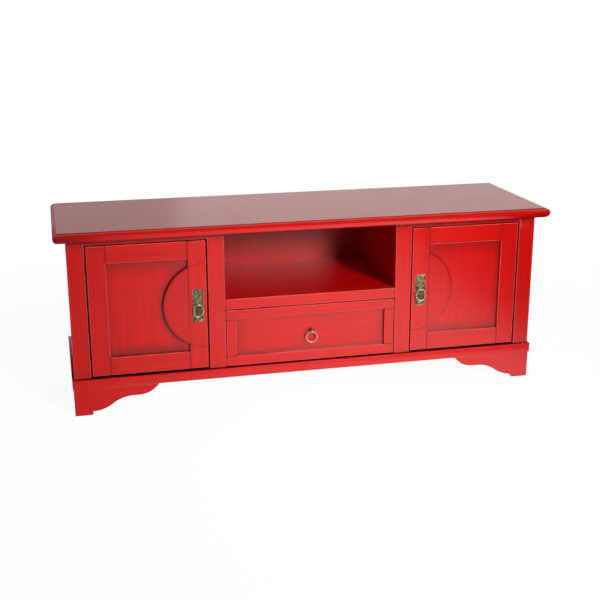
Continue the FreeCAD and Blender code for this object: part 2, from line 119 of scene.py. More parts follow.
class CabinetSizes(bpy.types.PropertyGroup):
    """Small sizes of the visible pieces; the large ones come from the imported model."""

    arris: length("Arris", "Radius of the eased edges of the joinery", 1)
    worn_band: length("Worn band", "Width beside an edge over which its wear fades", 1.5)
    joint_line: length("Joint line", "Width of the dark line where two members meet", 1.6)
    # The glaze that fades from members' ends and edges also paints shade, as under the top
    end_shade: length("End shade", "Length over which the glaze fades from a member's end", 40)
    edge_shade: length("Edge shade", "Width over which the glaze fades from a member's long edge", 12)
    rub_width: length("Rub width", "Width of the rubbed place on the right outer stile", 14)
    rub_top: length("Rub top", "Depth below the stile's top at which that place begins", 12)
    rub_foot: length("Rub foot", "Depth below the stile's top at which it has faded", 40)
    quirk_height: length("Quirk height", "Height of the layer on top of the nosed slab", 1.8)
    quirk_step: length("Quirk step", "Ledge at the foot of that layer", 0.5)
    rim_round: length("Rim round", "Radius of the rim of that layer", 0.6)
    # The rubbed crest of the nose also carries a painted highlight
    nose_crest: length("Nose crest", "Height of the rubbed part of the nose", 3)
    nose_upper: length("Upper nose", "Radius of the upper part of the nose", 10.5)
    nose_flat: length("Nose flat", "Height of the flat between the two parts of the nose", 1)
    moulding_round: length("Moulding round", "Radius on top of the plinth moulding", 2.5)
    moulding_quirk: length("Moulding quirk", "Chamfer under the plinth moulding", 1.2)
    moulding_depth: length("Moulding depth", "Longest edge across the plinth moulding", 60)
    cove: length("Cove", "Length of the cove at a front bracket's tip", 61)
    cove_rise: length("Cove rise", "Drop of that cove", 32)
    bracket_flat: length("Bracket flat", "Level stretch between cove and ogee", 18)
    foot_step: length("Foot step", "Height of the step beside a foot", 11)
    foot_width: length("Foot width", "Width of a foot", 52)
    side_flat: length("Side flat", "Level stretch in the middle of a side skirt", 18)
    moon_margin: length("Moon margin", "Room above and below the half moon", 12)
    moon_ring: length("Moon ring", "Width of each ring of cells inside the moon's rim", 4)
    groove_width: length("Groove width", "Half the width of the moon's groove in the stile", 1.7)
    groove_depth: length("Groove depth", "Depth of that groove", 0.8)
    panel_cell: length("Panel cell", "Size of a panel's mesh cells", 4)
    relief_cell: length("Relief cell", "Size of the mesh cells of a stamped plate", 0.65)
    # A pull's post is bright at the front, rubbed brass with a painted highlight, and dark behind
    post_bright: length("Bright post", "Depth to which a pull's post is rubbed bright", 6)
    post_dark: length("Dark post", "Depth from which that post is dark", 11)


class CabinetColours(bpy.types.PropertyGroup):
    """Colours of the finishes."""

    red: colour("Red", "Lacquer on the raised grain", "EA0B07")
    deep_red: colour("Deep red", "Lacquer where it lies thicker", "C40605")
    # The inner reds are darker, which also paints the shade inside the bay
    inner_red: colour("Inner red", "Thinner lacquer inside, on the raised grain", "CC0806")
    inner_deep: colour("Inner deep red", "The same where it lies thicker", "AA0605")
    # Brown glaze, which also paints the shade in corners, gaps and under the top
    glaze_and_shade: colour("Glaze and shade", "Brown glaze rubbed into corners", "7A120F")
    # Pale lacquer rubbed thin on edges, which also paints their highlight
    worn_and_highlit: colour("Worn and highlit edge", "Lacquer rubbed thin on edges", "EE8477")
    brass: colour("Brass", "Rubbed brass on raised places", "D8BC94")
    patina: colour("Patina", "Aged brass in the recesses", "3C3427")
    verdigris: colour("Green tinge", "Greenish cast of the aged brass", "5C5B48")
    bush: colour("Bush brass", "Darkened brass of the pivot bushes", "4A3524")
    steel: colour("Steel", "Blackened pivot pins and strike plates", "4A4644")
    catch: colour("Catch", "Moulded plastic of the catches", "2A2320")
    timber: colour("Timber", "Plain wood of the drawer's box", "D9B98C")
    timber_dark: colour("Timber streak", "Darker streaks of that wood", "B58C5A")
    floor: colour("Floor", "Studio floor", "F4F4F4")


class CabinetStudio(bpy.types.PropertyGroup):
    """Camera and light of the stage."""

    camera_at: point("Camera", "Place of the camera", (-0.74, -3.1465, 1.2273))
    camera_turn: FloatVectorProperty(name="Camera turn", description="Turn of the camera", size=3,
                                     default=tuple(map(math.radians, (73.193, 0.11, -13.421))),
                                     subtype="EULER", unit="ROTATION")
    sensor: FloatProperty(name="Sensor", description="Width of the sensor in millimetres", default=36, min=1)
    lens: FloatProperty(name="Lens", description="Focal length in millimetres", default=63.17, min=1)
    key: power("Key", "Power of the lamp before the cabinet", 14.1)
    key_at: point("Key place", "Place of that lamp", (1.41, -4.2, 2.0))
    key_aim: point("Key aim", "Place that it is aimed at", (0, -0.17, 0.3))
    key_beam: FloatProperty(name="Key beam", description="Angle of its beam", default=math.radians(48),
                            min=0, subtype="ANGLE", unit="ROTATION")
    side_fill: power("Side fill", "Power of the lamp at the right end", 22)
    left_share: share("Left share", "Share of that power at the left end", 0.65)
    rear_fill: power("Rear fill", "Power of the lamp behind", 35)
    card: power("Card", "Power of the white card behind, which only polished faces mirror", 7.2)
    mirrored: share("Mirrored", "Brightness of what polished faces mirror from behind", 0.66)
    mirrored_front: share("Mirrored front", "Brightness of what they mirror from in front", 0.2)
    ambient: share("Ambient", "Light from all round", 0.05)
    pool: FloatProperty(name="Pool", description="Brightness of the lit floor that the front mirrors",
                        default=1.7, min=0)
    shadow: share("Floor shadow", "How much of the cabinet's shadow the white floor shows", 0.06)


def sizes():
    """The sizes that a user may change."""
    return bpy.context.scene.cabinet_sizes


def opaque(tint):
    """A colour property with its alpha."""
    return (*tint, 1.0)


class Wiring:
    """A shader node tree that is being wired up."""

    def __init__(self, tree):
        self.tree = tree

    def feed(self, socket, source):
        """Links an output to a socket, or sets its value."""
        if isinstance(source, bpy.types.NodeSocket):
            self.tree.links.new(source, socket)
        else:
            socket.default_value = source

    def add(self, kind, inputs, **settings):
        """A node with its settings and inputs."""
        node = self.tree.nodes.new(kind)
        for name, setting in settings.items():
            setattr(node, name, setting)
        for name, source in inputs.items():
            self.feed(node.inputs[name], source)
        return node

    def noise(self, vector, scale, detail, stretch=(1, 1, 1)):
        """A cloud of values round a half."""
        sized = self.add("ShaderNodeMapping", {"Vector": vector, "Scale": stretch})
        inputs = {"Vector": sized.outputs[0], "Scale": scale, "Detail": detail, "Roughness": 0.55}
        return self.add("ShaderNodeTexNoise", inputs).outputs["Fac"]

    def math(self, operation, value, *others, clamp=False):
        """One value worked out from two or more, one after the other."""
        for other in others:
            node = self.add("ShaderNodeMath", {0: value, 1: other}, operation=operation, use_clamp=clamp)
            value = node.outputs[0]
        return value

    def mean(self, a, weight, b):
        """A mean of two values, in which the first has a weight."""
        return self.math("ADD", self.math("MULTIPLY", a, weight), self.math("MULTIPLY", b, 1 - weight))

    def spread(self, value, low, high, to_low=0.0, to_high=1.0):
        """A value carried smoothly from one range to another."""
        inputs = {"Value": value, "From Min": low, "From Max": high, "To Min": to_low, "To Max": to_high}
        node = self.add("ShaderNodeMapRange", inputs, interpolation_type="SMOOTHSTEP")
        return node.outputs["Result"]

    def blend(self, factor, a, b):
        """Two colours mixed."""
        node = self.add("ShaderNodeMix", {0: factor, 6: a, 7: b}, data_type="RGBA")
        return node.outputs[2]

    def mark(self, name):
        """A value that the mesh carries at its points."""
        return self.add("ShaderNodeAttribute", {}, attribute_name=name).outputs["Fac"]

    def group(self, tree, inputs):
        """The outputs of a node group with its inputs."""
        return self.add("ShaderNodeGroup", inputs, node_tree=tree).outputs

    def along_grain(self, coordinates, axis):
        """Coordinates turned so that the grain, which runs along X, runs along an axis."""
        turn = {"X": (0, 0, 0), "Y": (0, 0, -math.pi / 2), "Z": (0, math.pi / 2, 0)}[axis]
        return self.add("ShaderNodeMapping", {"Vector": coordinates, "Rotation": turn}).outputs[0]

    def dress(self, shader, tint, roughness, height, depth, strength):
        """Gives a shader its colour, its roughness and the bumps of a height."""
        bump = self.add("ShaderNodeBump", {"Height": height, "Distance": depth, "Strength": strength})
        self.feed(shader.inputs["Base Color"], tint)
        self.feed(shader.inputs["Roughness"], roughness)
        self.feed(shader.inputs["Normal"], bump.outputs[0])


def rewired(owner):
    """The emptied node tree of a material or a world."""
    owner.use_nodes = True
    owner.node_tree.nodes.clear()
    return Wiring(owner.node_tree)


def node_group(name, inputs, outputs):
    """A new shader group: its wiring, the sockets it is given and those it makes."""
    tree = bpy.data.node_groups.new(name, "ShaderNodeTree")
    for direction, sockets in (("INPUT", inputs), ("OUTPUT", outputs)):
        for socket, kind in sockets.items():
            tree.interface.new_socket(name=socket, in_out=direction, socket_type=f"NodeSocket{kind}")
    wiring = Wiring(tree)
    return wiring, wiring.add("NodeGroupInput", {}).outputs, wiring.add("NodeGroupOutput", {}).inputs


FINISH_OUTPUTS = {"Color": "Color", "Roughness": "Float", "Height": "Float"}


def grain_group():
    """Wood grain that runs along X: broad streaks and short open pores."""
    name = "Wood Grain"
    if name not in bpy.data.node_groups:
        wiring, given, made = node_group(name, {"Vector": "Vector"}, {"Streak": "Float", "Pore": "Float"})
        broad = wiring.noise(given["Vector"], scale=1, detail=4, stretch=(3, 140, 140))
        fine = wiring.noise(given["Vector"], scale=1, detail=2, stretch=(9, 520, 520))
        pore = wiring.noise(given["Vector"], scale=1, detail=2, stretch=(45, 1100, 1100))
        wiring.feed(made["Streak"], wiring.spread(wiring.mean(broad, 0.65, fine), 0.3, 0.7))
        wiring.feed(made["Pore"], wiring.spread(pore, 0.56, 0.7))
    return bpy.data.node_groups[name]


def lacquer_group():
    """Red lacquer over open grain, with glaze and painted shade in the corners, and rubbed edges that carry
    a painted highlight.
    """
    name = "Aged Lacquer"
    if name not in bpy.data.node_groups:
        inputs = {"Vector": "Vector", "Red": "Color", "Deep Red": "Color",
                  "Glaze and shade": "Color", "Worn and highlit": "Color", "Matt": "Float"}
        wiring, given, made = node_group(name, inputs, FINISH_OUTPUTS)
        grain = wiring.group(grain_group(), {"Vector": given["Vector"]})
        cloud = wiring.noise(given["Vector"], scale=7, detail=3)
        rubbed = wiring.noise(given["Vector"], scale=45, detail=4, stretch=(0.5, 1, 1))

        body = wiring.blend(wiring.mean(grain["Streak"], 0.5, cloud), given["Deep Red"], given["Red"])
        # Glaze and painted shade alike, a little uneven
        glaze_and_shade = wiring.math("MULTIPLY", wiring.mark("glaze_and_shade"), wiring.spread(rubbed, 0.2, 0.75, 0.65, 1.1))
        pores = wiring.math("MULTIPLY", grain["Pore"], 0.15)
        glazed_and_shaded = wiring.blend(wiring.math("MAXIMUM", glaze_and_shade, pores, clamp=True), body, given["Glaze and shade"])
        # Rubbed edges turn pale, which also paints their highlight
        edges = wiring.mark("wear_and_highlight")
        wear_and_highlight = wiring.math("MULTIPLY", edges, wiring.spread(rubbed, 0.3, 0.7, 0.2, 0.55))
        wiring.feed(made["Color"], wiring.blend(wear_and_highlight, glazed_and_shaded, given["Worn and highlit"]))

        uneven = wiring.spread(cloud, 0, 1, -0.03, 0.03)
        dull_edges = wiring.math("MULTIPLY", edges, 0.4)
        wiring.feed(made["Roughness"], wiring.math("ADD", given["Matt"], uneven, dull_edges))
        raised = wiring.math("MULTIPLY", grain["Streak"], 0.5)
        wiring.feed(made["Height"], wiring.math("SUBTRACT", raised, grain["Pore"]))
    return bpy.data.node_groups[name]


def brass_group():
    """Aged brass: bright where it is rubbed, brown and greenish in the recesses."""
    name = "Aged Brass"
    if name not in bpy.data.node_groups:
        inputs = {"Vector": "Vector", "Polish": "Float", "Brass": "Color",
                  "Patina": "Color", "Green": "Color"}
        wiring, given, made = node_group(name, inputs, FINISH_OUTPUTS)
        blotch = wiring.noise(given["Vector"], scale=190, detail=3)
        tinge = wiring.noise(given["Vector"], scale=120, detail=2)
        pits = wiring.noise(given["Vector"], scale=1500, detail=2)
        worn_and_highlit = wiring.math("ADD", given["Polish"], wiring.math("MULTIPLY", wiring.mark("wear_and_highlight"), 0.8))
        spots = wiring.spread(blotch, 0.3, 0.7, -0.35, 0.25)
        bright = wiring.math("ADD", worn_and_highlit, spots, clamp=True)
        aged = wiring.blend(wiring.spread(tinge, 0.42, 0.62), given["Patina"], given["Green"])
        wiring.feed(made["Color"], wiring.blend(bright, aged, given["Brass"]))
        wiring.feed(made["Roughness"], wiring.spread(bright, 0, 1, 0.52, 0.27))
        wiring.feed(made["Height"], pits)
    return bpy.data.node_groups[name]


def new_material(name):
    """The wiring of a new material, its shader and the object's own coordinates."""
    wiring = rewired(bpy.data.materials.new(name))
    shader = wiring.add("ShaderNodeBsdfPrincipled", {})
    wiring.add("ShaderNodeOutputMaterial", {"Surface": shader.outputs[0]})
    return wiring, shader, wiring.add("ShaderNodeTexCoord", {}).outputs["Object"]


# Colours of each lacquer on the raised grain and where it lies thicker, and its roughness
LACQUERS = {
    "Red": ("red", "deep_red", 0.235),
    "Shelf": ("red", "deep_red", 0.305),
    "Inner": ("inner_red", "inner_deep", 0.305),
}


def lacquer(axis, kind="Red"):
    """Lacquer with its grain along an axis: red outside, duller on the shelf, darker and duller on boards
    inside, where the darker red also paints the shade of the bay.
    """
    name = f"{kind} lacquer, grain along {axis}"
    if name not in bpy.data.materials:
        colours = bpy.context.scene.cabinet_colours
        wiring, shader, coordinates = new_material(name)
        red, deep_red, matt = LACQUERS[kind]
        finish = wiring.group(lacquer_group(), {
            "Vector": wiring.along_grain(coordinates, axis),
            "Red": opaque(getattr(colours, red)),
            "Deep Red": opaque(getattr(colours, deep_red)),
            "Glaze and shade": opaque(colours.glaze_and_shade),
            "Worn and highlit": opaque(colours.worn_and_highlit),
            "Matt": matt,
        })
        wiring.dress(shader, finish["Color"], finish["Roughness"], finish["Height"],
                     depth=0.0002, strength=0.15)
    return bpy.data.materials[name]


def brass(name, polish, front=None):
    """Antique brass, more or less rubbed; where a front is given it is bright there, with a painted
    highlight, and dark some way behind that.
    """
    if name not in bpy.data.materials:
        colours = bpy.context.scene.cabinet_colours
        wiring, shader, coordinates = new_material(name)
        if front is not None:
            depth = wiring.add("ShaderNodeSeparateXYZ", {"Vector": coordinates}).outputs["Y"]
            bright, dark = front + sizes().post_bright, front + sizes().post_dark
            polish = wiring.spread(depth, bright, dark, polish, 0.0)
        finish = wiring.group(brass_group(), {
            "Vector": coordinates,
            "Polish": polish,
            "Brass": opaque(colours.brass),
            "Patina": opaque(colours.patina),
            "Green": opaque(colours.verdigris),
        })
        wiring.dress(shader, finish["Color"], finish["Roughness"], finish["Height"],
                     depth=0.0001, strength=0.3)
        shader.inputs["Metallic"].default_value = 1.0
    return bpy.data.materials[name]


def plain_timber(axis):
    """Oiled pale wood whose grain runs along an axis."""
    name = f"Plain timber, grain along {axis}"
    if name not in bpy.data.materials:
        colours = bpy.context.scene.cabinet_colours
        pale, dark = opaque(colours.timber), opaque(colours.timber_dark)
        wiring, shader, coordinates = new_material(name)
        grain = wiring.group(grain_group(), {"Vector": wiring.along_grain(coordinates, axis)})
        body = wiring.blend(grain["Streak"], pale, dark)
        wiring.dress(shader, wiring.blend(wiring.math("MULTIPLY", grain["Pore"], 0.4), body, dark),
                     wiring.spread(grain["Streak"], 0, 1, 0.5, 0.62),
                     wiring.math("SUBTRACT", grain["Streak"], grain["Pore"]), depth=0.0002, strength=0.4)
    return bpy.data.materials[name]


def textured(name, tint, change, roughness, metallic, depth, strength, **texture):
    """A plain finish whose colour, roughness and surface change with a fine texture."""
    if name not in bpy.data.materials:
        wiring, shader, coordinates = new_material(name)
        height = wiring.noise(coordinates, detail=2, **texture)
        changed = opaque([change * part for part in tint])
        wiring.dress(shader, wiring.blend(wiring.spread(height, 0.3, 0.7), opaque(tint), changed),
                     wiring.spread(height, 0.3, 0.7, *roughness), height, depth, strength)
        shader.inputs["Metallic"].default_value = metallic
    return bpy.data.materials[name]


def turned_metal(name, tint, roughness):
    """Machined metal with fine lines round it."""
    return textured(name, tint, change=0.72, roughness=(roughness, roughness + 0.15), metallic=1.0,
                    depth=0.00005, strength=0.3, scale=1, stretch=(300, 300, 2600))


def catch_plastic(tint):
    """Moulded plastic with a fine grit on it."""
    return textured("Catch plastic", tint, change=1.5, roughness=(0.45, 0.6), metallic=0.0,
                    depth=0.0001, strength=0.4, scale=1400)


def new_mesh():
    """A mesh that carries marks for wear with a painted highlight, and for glaze with painted shade, at its
    points.
    """
    bm = bmesh.new()
    for name in MARKS:
        bm.verts.layers.float.new(name)
    return bm


def marks(bm):
    """The layers of a mesh that hold its wear with painted highlight and its glaze with painted shade."""
    return [bm.verts.layers.float[name] for name in MARKS]


def set_mark(bm, name, amount):
    """Sets a mark at every point to an amount between nought and one that follows from the point."""
    layer = bm.verts.layers.float[name]
    for vert in bm.verts:
        vert[layer] = min(max(amount(vert), 0.0), 1.0)


def points(items):
    """The points among what an operator made."""
    return [item for item in items if isinstance(item, bmesh.types.BMVert)]


def lies_at(edge, axis, place):
    """Whether an edge lies at a place along an axis."""
    return all(abs(vert.co[axis] - place) < NEAR for vert in edge.verts)


def block(low, high):
    """A box between two corners."""
    bm = new_mesh()
    bmesh.ops.create_cube(bm, size=1)
    bmesh.ops.scale(bm, vec=high - low, verts=bm.verts)
    bmesh.ops.translate(bm, vec=(low + high) / 2, verts=bm.verts)
    return bm


def sheet(low, high, cell):
    """An upright sheet of square cells at the front of a box, facing forwards."""
    bm = new_mesh()
    size = high - low
    bmesh.ops.create_grid(bm, x_segments=round(size.x / cell), y_segments=round(size.z / cell), size=0.5)
    bmesh.ops.scale(bm, vec=(size.x, size.z, 1), verts=bm.verts)
    bmesh.ops.rotate(bm, cent=(0, 0, 0), matrix=Matrix.Rotation(math.pi / 2, 3, "X"), verts=bm.verts)
    middle = (low + high) / 2
    bmesh.ops.translate(bm, vec=(middle.x, low.y, middle.z), verts=bm.verts)
    return bm


def thicken(bm, back):
    """Closes a sheet with a flat back at a depth."""
    for vert in points(bmesh.ops.extrude_face_region(bm, geom=bm.faces[:])["geom"]):
        vert.co.y = back
    bmesh.ops.recalc_face_normals(bm, faces=bm.faces)


def cut(bm, place, normal, **options):
    """Cuts a mesh along a plane and returns what lies in the plane."""
    whole = bm.verts[:] + bm.edges[:] + bm.faces[:]
    made = bmesh.ops.bisect_plane(bm, geom=whole, plane_co=place, plane_no=normal, dist=CUT_SLACK, **options)
    return made["geom_cut"]


def cut_loops(bm, axis, places):
    """Cuts loops of edges round a bar at places along an axis, and returns the points of each."""
    normal = Vector([float(axis == i) for i in range(3)])
    return [points(cut(bm, normal * place, normal)) for place in places]


def cut_columns(bm, low, high, columns):
    """Cuts a bar into columns of the same width."""
    cut_loops(bm, 0, [low.x + (high.x - low.x) * column / columns for column in range(1, columns)])


def bevel(bm, edges, radius, segments):
    """Rounds edges and returns the new faces."""
    made = bmesh.ops.bevel(bm, geom=edges, offset=radius, offset_type="OFFSET", segments=segments,
                           profile=0.5, affect="EDGES", clamp_overlap=True, material=-1)
    return made["faces"]


def inset(bm, faces, width, **options):
    """Draws faces in by a width and returns the new faces round them."""
    made = bmesh.ops.inset_region(bm, faces=faces, thickness=width, use_even_offset=True, **options)
    return made["faces"]


def touches(vert, faces):
    """Whether a point lies on faces of a set, or one edge away from them."""
    near = {face for edge in vert.link_edges for other in edge.verts for face in other.link_faces}
    return not near.isdisjoint(faces)


# Wear of an eased edge, with its painted highlight, and glaze on it where it is a joint
EDGE_MARK = 0.75
# Part of an arris's radius that the ring beside it is wide
RING_SHARE = 0.2


def ease(bm, joint=None, rounded=(), left_sharp=None):
    """Rounds the sharp edges and marks them rubbed, with a painted highlight, or dark where the test of a
    joint holds.

    A narrow ring beside them holds the marks, and a band beside that lets them fade. Faces that are rounded
    already get neither, and edges for which left_sharp holds stay as they are.
    """
    size = sizes()
    sharp = [edge for edge in bm.edges if edge.calc_face_angle(0) > SHARP]
    if left_sharp:
        sharp = [edge for edge in sharp if not left_sharp(edge)]
    eased = set(bevel(bm, sharp, size.arris, segments=2))
    curved = eased.union(face for face in rounded if face.is_valid)
    flat = [face for face in bm.faces if face not in curved]
    ring = inset(bm, flat, RING_SHARE * size.arris, use_boundary=True)
    inset(bm, flat, size.worn_band, use_boundary=True)
    wear_and_highlight, glaze_and_shade = marks(bm)
    for vert in {vert for face in eased.union(ring) for vert in face.verts if touches(vert, eased)}:
        dark = joint is not None and joint(vert.co)
        vert[wear_and_highlight] = 0.0 if dark else EDGE_MARK
        vert[glaze_and_shade] = EDGE_MARK if dark else 0.0


def piece(bm, name, body, node, material):
    """Makes an object of a mesh, which rides on a body and stands for a CAD node."""
    mesh = bpy.data.meshes.new(name)
    for face in bm.faces:
        face.smooth = True
    bm.to_mesh(mesh)
    bm.free()
    mesh.materials.append(material)
    thing = bpy.data.objects.new(name, mesh)
    bpy.context.scene.collection.objects.link(thing)
    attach(thing, body)
    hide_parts(node)


def lacquered(bm, name, body, node, axis):
    """Makes a red lacquered piece of a mesh, with its grain along an axis."""
    piece(bm, name, body, node, lacquer(axis))


def paint(node, material):
    """Gives a CAD node a finish."""
    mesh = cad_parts[node].data
    mesh.materials.clear()
    mesh.materials.append(material)


def gap(*nodes):
    """The left and the right end of the gap between two upright members."""
    boxes = [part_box(node) for node in nodes]
    return min(high.x for low, high in boxes), max(low.x for low, high in boxes)


def everywhere(place):
    """The test for a piece whose edges are all dark."""
    return True


def both_sides(places):
    """Places just before and just after others, between which a joint's line begins."""
    return [place + step * sizes().joint_line / 4 for place in places for step in (-1, 1)]


# Parts of its reach at which a fading glaze has loops of points
FADE_STEPS = (0.25, 0.55, 1.0)
# How many times the width of an eased edge the first loop keeps from the edge
FIRST_LOOP = 1.3
# How many times as far as the first loop the next one is at least
NEXT_LOOP = 1.2


def fade_cuts(bm, axis, low, high, reach):
    """Cuts loops over which the glaze fades from both ends of a bar, or from both its edges."""
    clear = FIRST_LOOP * (sizes().arris + sizes().worn_band)
    fades = [clear] + [reach * step for step in FADE_STEPS if reach * step > NEXT_LOOP * clear]
    cut_loops(bm, axis, [low[axis] + fade for fade in fades] + [high[axis] - fade for fade in fades])


def faded(place, axis, low, high, reach, shade):
    """How much glaze lies at a place that fades from both ends of a bar, or from both its edges."""
    ends = (place[axis] - low[axis], high[axis] - place[axis])
    return max(much * max(0, 1 - end / reach) ** 2 for much, end in zip(shade, ends))


def member(name, body, node, axis, span=None, shade=(0.0, 0.0), edges=(0.0, 0.0), tone=0.0,
           joint=None, breaks=(), rubbed=None):
    """A lacquered bar along an axis, with rubbed arrises that carry a painted highlight, dark joints, and
    glaze with painted shade.

    A span says where it begins and ends, if not where its node does. The glaze, with painted shade, fades
    from both ends by shade and from both long edges by edges, and is nowhere less than tone.
    another test of a place is given, and breaks are cut where that changes. It may be rubbed by an amount
    that follows from the place.
    """
    low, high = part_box(node)
    along, across = {"X": (0, 2), "Z": (2, 0)}[axis]
    if span:
        low[along], high[along] = span
    bm = block(low, high)
    # No fade takes up more than a third of the bar
    reach = min(sizes().end_shade, (high[along] - low[along]) / 3)
    margin = min(sizes().edge_shade, (high[across] - low[across]) / 3)
    fade_cuts(bm, along, low, high, reach)
    fade_cuts(bm, across, low, high, margin)
    cut_loops(bm, along, both_sides(breaks))

    def at_end(place):
        return min(place[along] - low[along], high[along] - place[along]) < sizes().joint_line

    ease(bm, joint or at_end)
    wear_and_highlight, glaze_and_shade = marks(bm)
    for vert in bm.verts:
        if rubbed:
            vert[wear_and_highlight] = max(vert[wear_and_highlight], rubbed(vert.co))
        ends = faded(vert.co, along, low, high, reach, shade)
        sides = faded(vert.co, across, low, high, margin, edges)
        vert[glaze_and_shade] = max(vert[glaze_and_shade], ends, sides, tone)
    lacquered(bm, name, body, node, axis)


class Outline:
    """A closed outline drawn in the XZ plane, stroke by stroke, and then padded."""

    def __init__(self, start):
        self.bm = new_mesh()
        self.first = self.last = self.bm.verts.new((start[0], 0, start[1]))

    def lines(self, *ends):
        """Straight strokes from one end to the next."""
        for x, z in ends:
            self.last = bmesh.ops.extrude_vert_indiv(self.bm, verts=[self.last])["verts"][0]
            self.last.co = (x, 0, z)

    def arc(self, end, radius, steps=14):
        """A round stroke; a positive radius turns left, as seen with X to the right and Z up."""
        start, end = self.last.co.copy(), Vector((end[0], 0, end[1]))
        chord = end - start
        left = Vector((-chord.z, 0, chord.x)).normalized()
        rise = math.sqrt(max(radius ** 2 - chord.length_squared / 4, 0))
        centre = (start + end) / 2 + left * math.copysign(rise, radius)
        angle = 2 * math.asin(min(chord.length / 2 / abs(radius), 1))
        made = bmesh.ops.spin(self.bm, geom=[self.last], cent=centre, axis=(0, -1, 0), dvec=(0, 0, 0),
                              angle=math.copysign(angle, radius), steps=steps, use_duplicate=False)
        self.last = points(made["geom_last"])[0]

    def ogee(self, end, turn):
        """Two like arcs that leave and arrive level; a positive turn bends to the left first."""
        start = self.last.co.copy()
        run, rise = end[0] - start.x, end[1] - start.z
        radius = math.copysign((run ** 2 + rise ** 2) / (4 * rise), turn)
        self.arc((start.x + run / 2, start.z + rise / 2), radius)
        self.arc(end, -radius)

    def pad(self, low, high):
        """Closes the outline and gives it a thickness between two depths."""
        bmesh.ops.weld_verts(self.bm, targetmap={self.last: self.first})
        bmesh.ops.contextual_create(self.bm, geom=self.bm.edges[:])
        bmesh.ops.translate(self.bm, vec=(0, low, 0), verts=self.bm.verts)
        thicken(self.bm, high)
        return self.bm


class CABINET_OT_top_board(bpy.types.Operator):
    """Slab with a nose on the front and both ends, and a thin layer set back on it"""

    bl_idname = "cabinet.top_board"
    bl_label = "Top Board"

    nose_segments = 8
    columns = 10
    # Least upward part of a level face's normal
    level_normal = 0.99
    # Painted shadow in the quirk, an even darkening of the level top, and the share at the left end of the
    # nose's wear and painted highlight, which grow to the right
    quirk_shadow = 0.9
    top_darkening = 0.2
    left_wear_and_highlight = 0.5

    def upward(self, bm):
        """The level faces that look up."""
        return [face for face in bm.faces if face.normal.z > self.level_normal]

    def shape(self, low, high, level):
        """The nosed slab up to a level, and the layer on it."""
        size = sizes()
        bm = block(low, Vector((high.x, high.y, level)))
        lower_radius = level - low.z - size.nose_upper - size.nose_flat
        for z, radius in ((level, size.nose_upper), (low.z, lower_radius)):
            nosed = [edge for edge in bm.edges if lies_at(edge, 2, z) and not lies_at(edge, 1, high.y)]
            bevel(bm, nosed, radius, self.nose_segments)
        face = max(self.upward(bm), key=lambda face: face.calc_area())
        inset(bm, [face], size.quirk_step)
        raised = points(bmesh.ops.extrude_face_region(bm, geom=[face])["geom"])
        bmesh.ops.delete(bm, geom=[face], context="FACES_ONLY")
        for vert in raised:
            vert.co.z = high.z
        bmesh.ops.recalc_face_normals(bm, faces=bm.faces)
        rim = [edge for edge in bm.edges if lies_at(edge, 2, high.z)]
        bevel(bm, rim, size.rim_round, segments=2)
        top = [face for face in self.upward(bm) if face.calc_center_median().z > high.z - NEAR]
        inset(bm, top, size.worn_band)
        cut_columns(bm, low, high, self.columns)
        return bm

    def execute(self, context):
        size = sizes()
        low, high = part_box("top_board")
        level = high.z - size.quirk_height
        foot = size.nose_upper + size.quirk_step / 2
        bm = self.shape(low, high, level)

        def inwards(vert):
            """How far a place lies from the nearest nosed edge."""
            return min(vert.co.y - low.y, vert.co.x - low.x, high.x - vert.co.x)

        def to_right(vert):
            """Nought at the left end and one from the middle on."""
            return min(max((vert.co.x - low.x) / (high.x - low.x) * 2, 0), 1)

        # Wear and painted highlight along the nose's crest, stronger towards the right
        def wear_and_highlight(vert):
            on_nose = level - size.nose_crest < vert.co.z < level + NEAR and inwards(vert) < foot
            return on_nose * (self.left_wear_and_highlight + (1 - self.left_wear_and_highlight) * to_right(vert))

        # Painted shadow in the quirk below the layer, and a darker level top
        def glaze_and_shade(vert):
            on_layer = level - NEAR < vert.co.z < high.z - size.rim_round / 2 and inwards(vert) > foot
            on_top = vert.co.z > high.z - NEAR
            return self.quirk_shadow * on_layer + self.top_darkening * on_top

        set_mark(bm, "wear_and_highlight", wear_and_highlight)
        set_mark(bm, "glaze_and_shade", glaze_and_shade)
        lacquered(bm, "top_slab", "carcass", "top_board", "X")
        return {"FINISHED"}


class CABINET_OT_face_frame(bpy.types.Operator):
    """Four stiles, the rails over the doors and the rail under the open bay"""

    bl_idname = "cabinet.face_frame"
    bl_label = "Face Frame"

    def execute(self, context):
        size = sizes()
        corner_low, corner_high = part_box("right_outer_stile")

        def rubbed_corner(place):
            across = (place.x - corner_low.x) / size.rub_width
            down = corner_high.z - place.z
            return max(0, 1 - across) * max(0, 1 - down / size.rub_foot) * (down > size.rub_top)

        # The right outer stile is evenly a little darker, painted shade at the right end, and rubbed near
        # its top inner corner
        special = {"right_outer_stile": {"tone": 0.12, "rubbed": rubbed_corner}}
        for side in SIDES:
            for kind in ("outer_stile", "inner_stile"):
                node = f"{side}_{kind}"
                # Darker at the foot, and far darker at the top, where it paints the shadow under the top's
                # nose
                member(f"{kind}_{side}", "carcass", node, "Z",
                       shade=(0.4, 0.9), edges=(0.0, 0.3), **special.get(node, {}))
            # The rail over each door is evenly dark, which paints the shadow under the top's overhang
            member(f"over_door_rail_{side}", "carcass", f"{side}_top_rail", "X",
                   span=gap(f"{side}_outer_stile", f"{side}_inner_stile"), tone=0.65, joint=everywhere)
        member("bay_rail", "carcass", "shelf_rail", "X", shade=(0.15, 0.15))
        return {"FINISHED"}


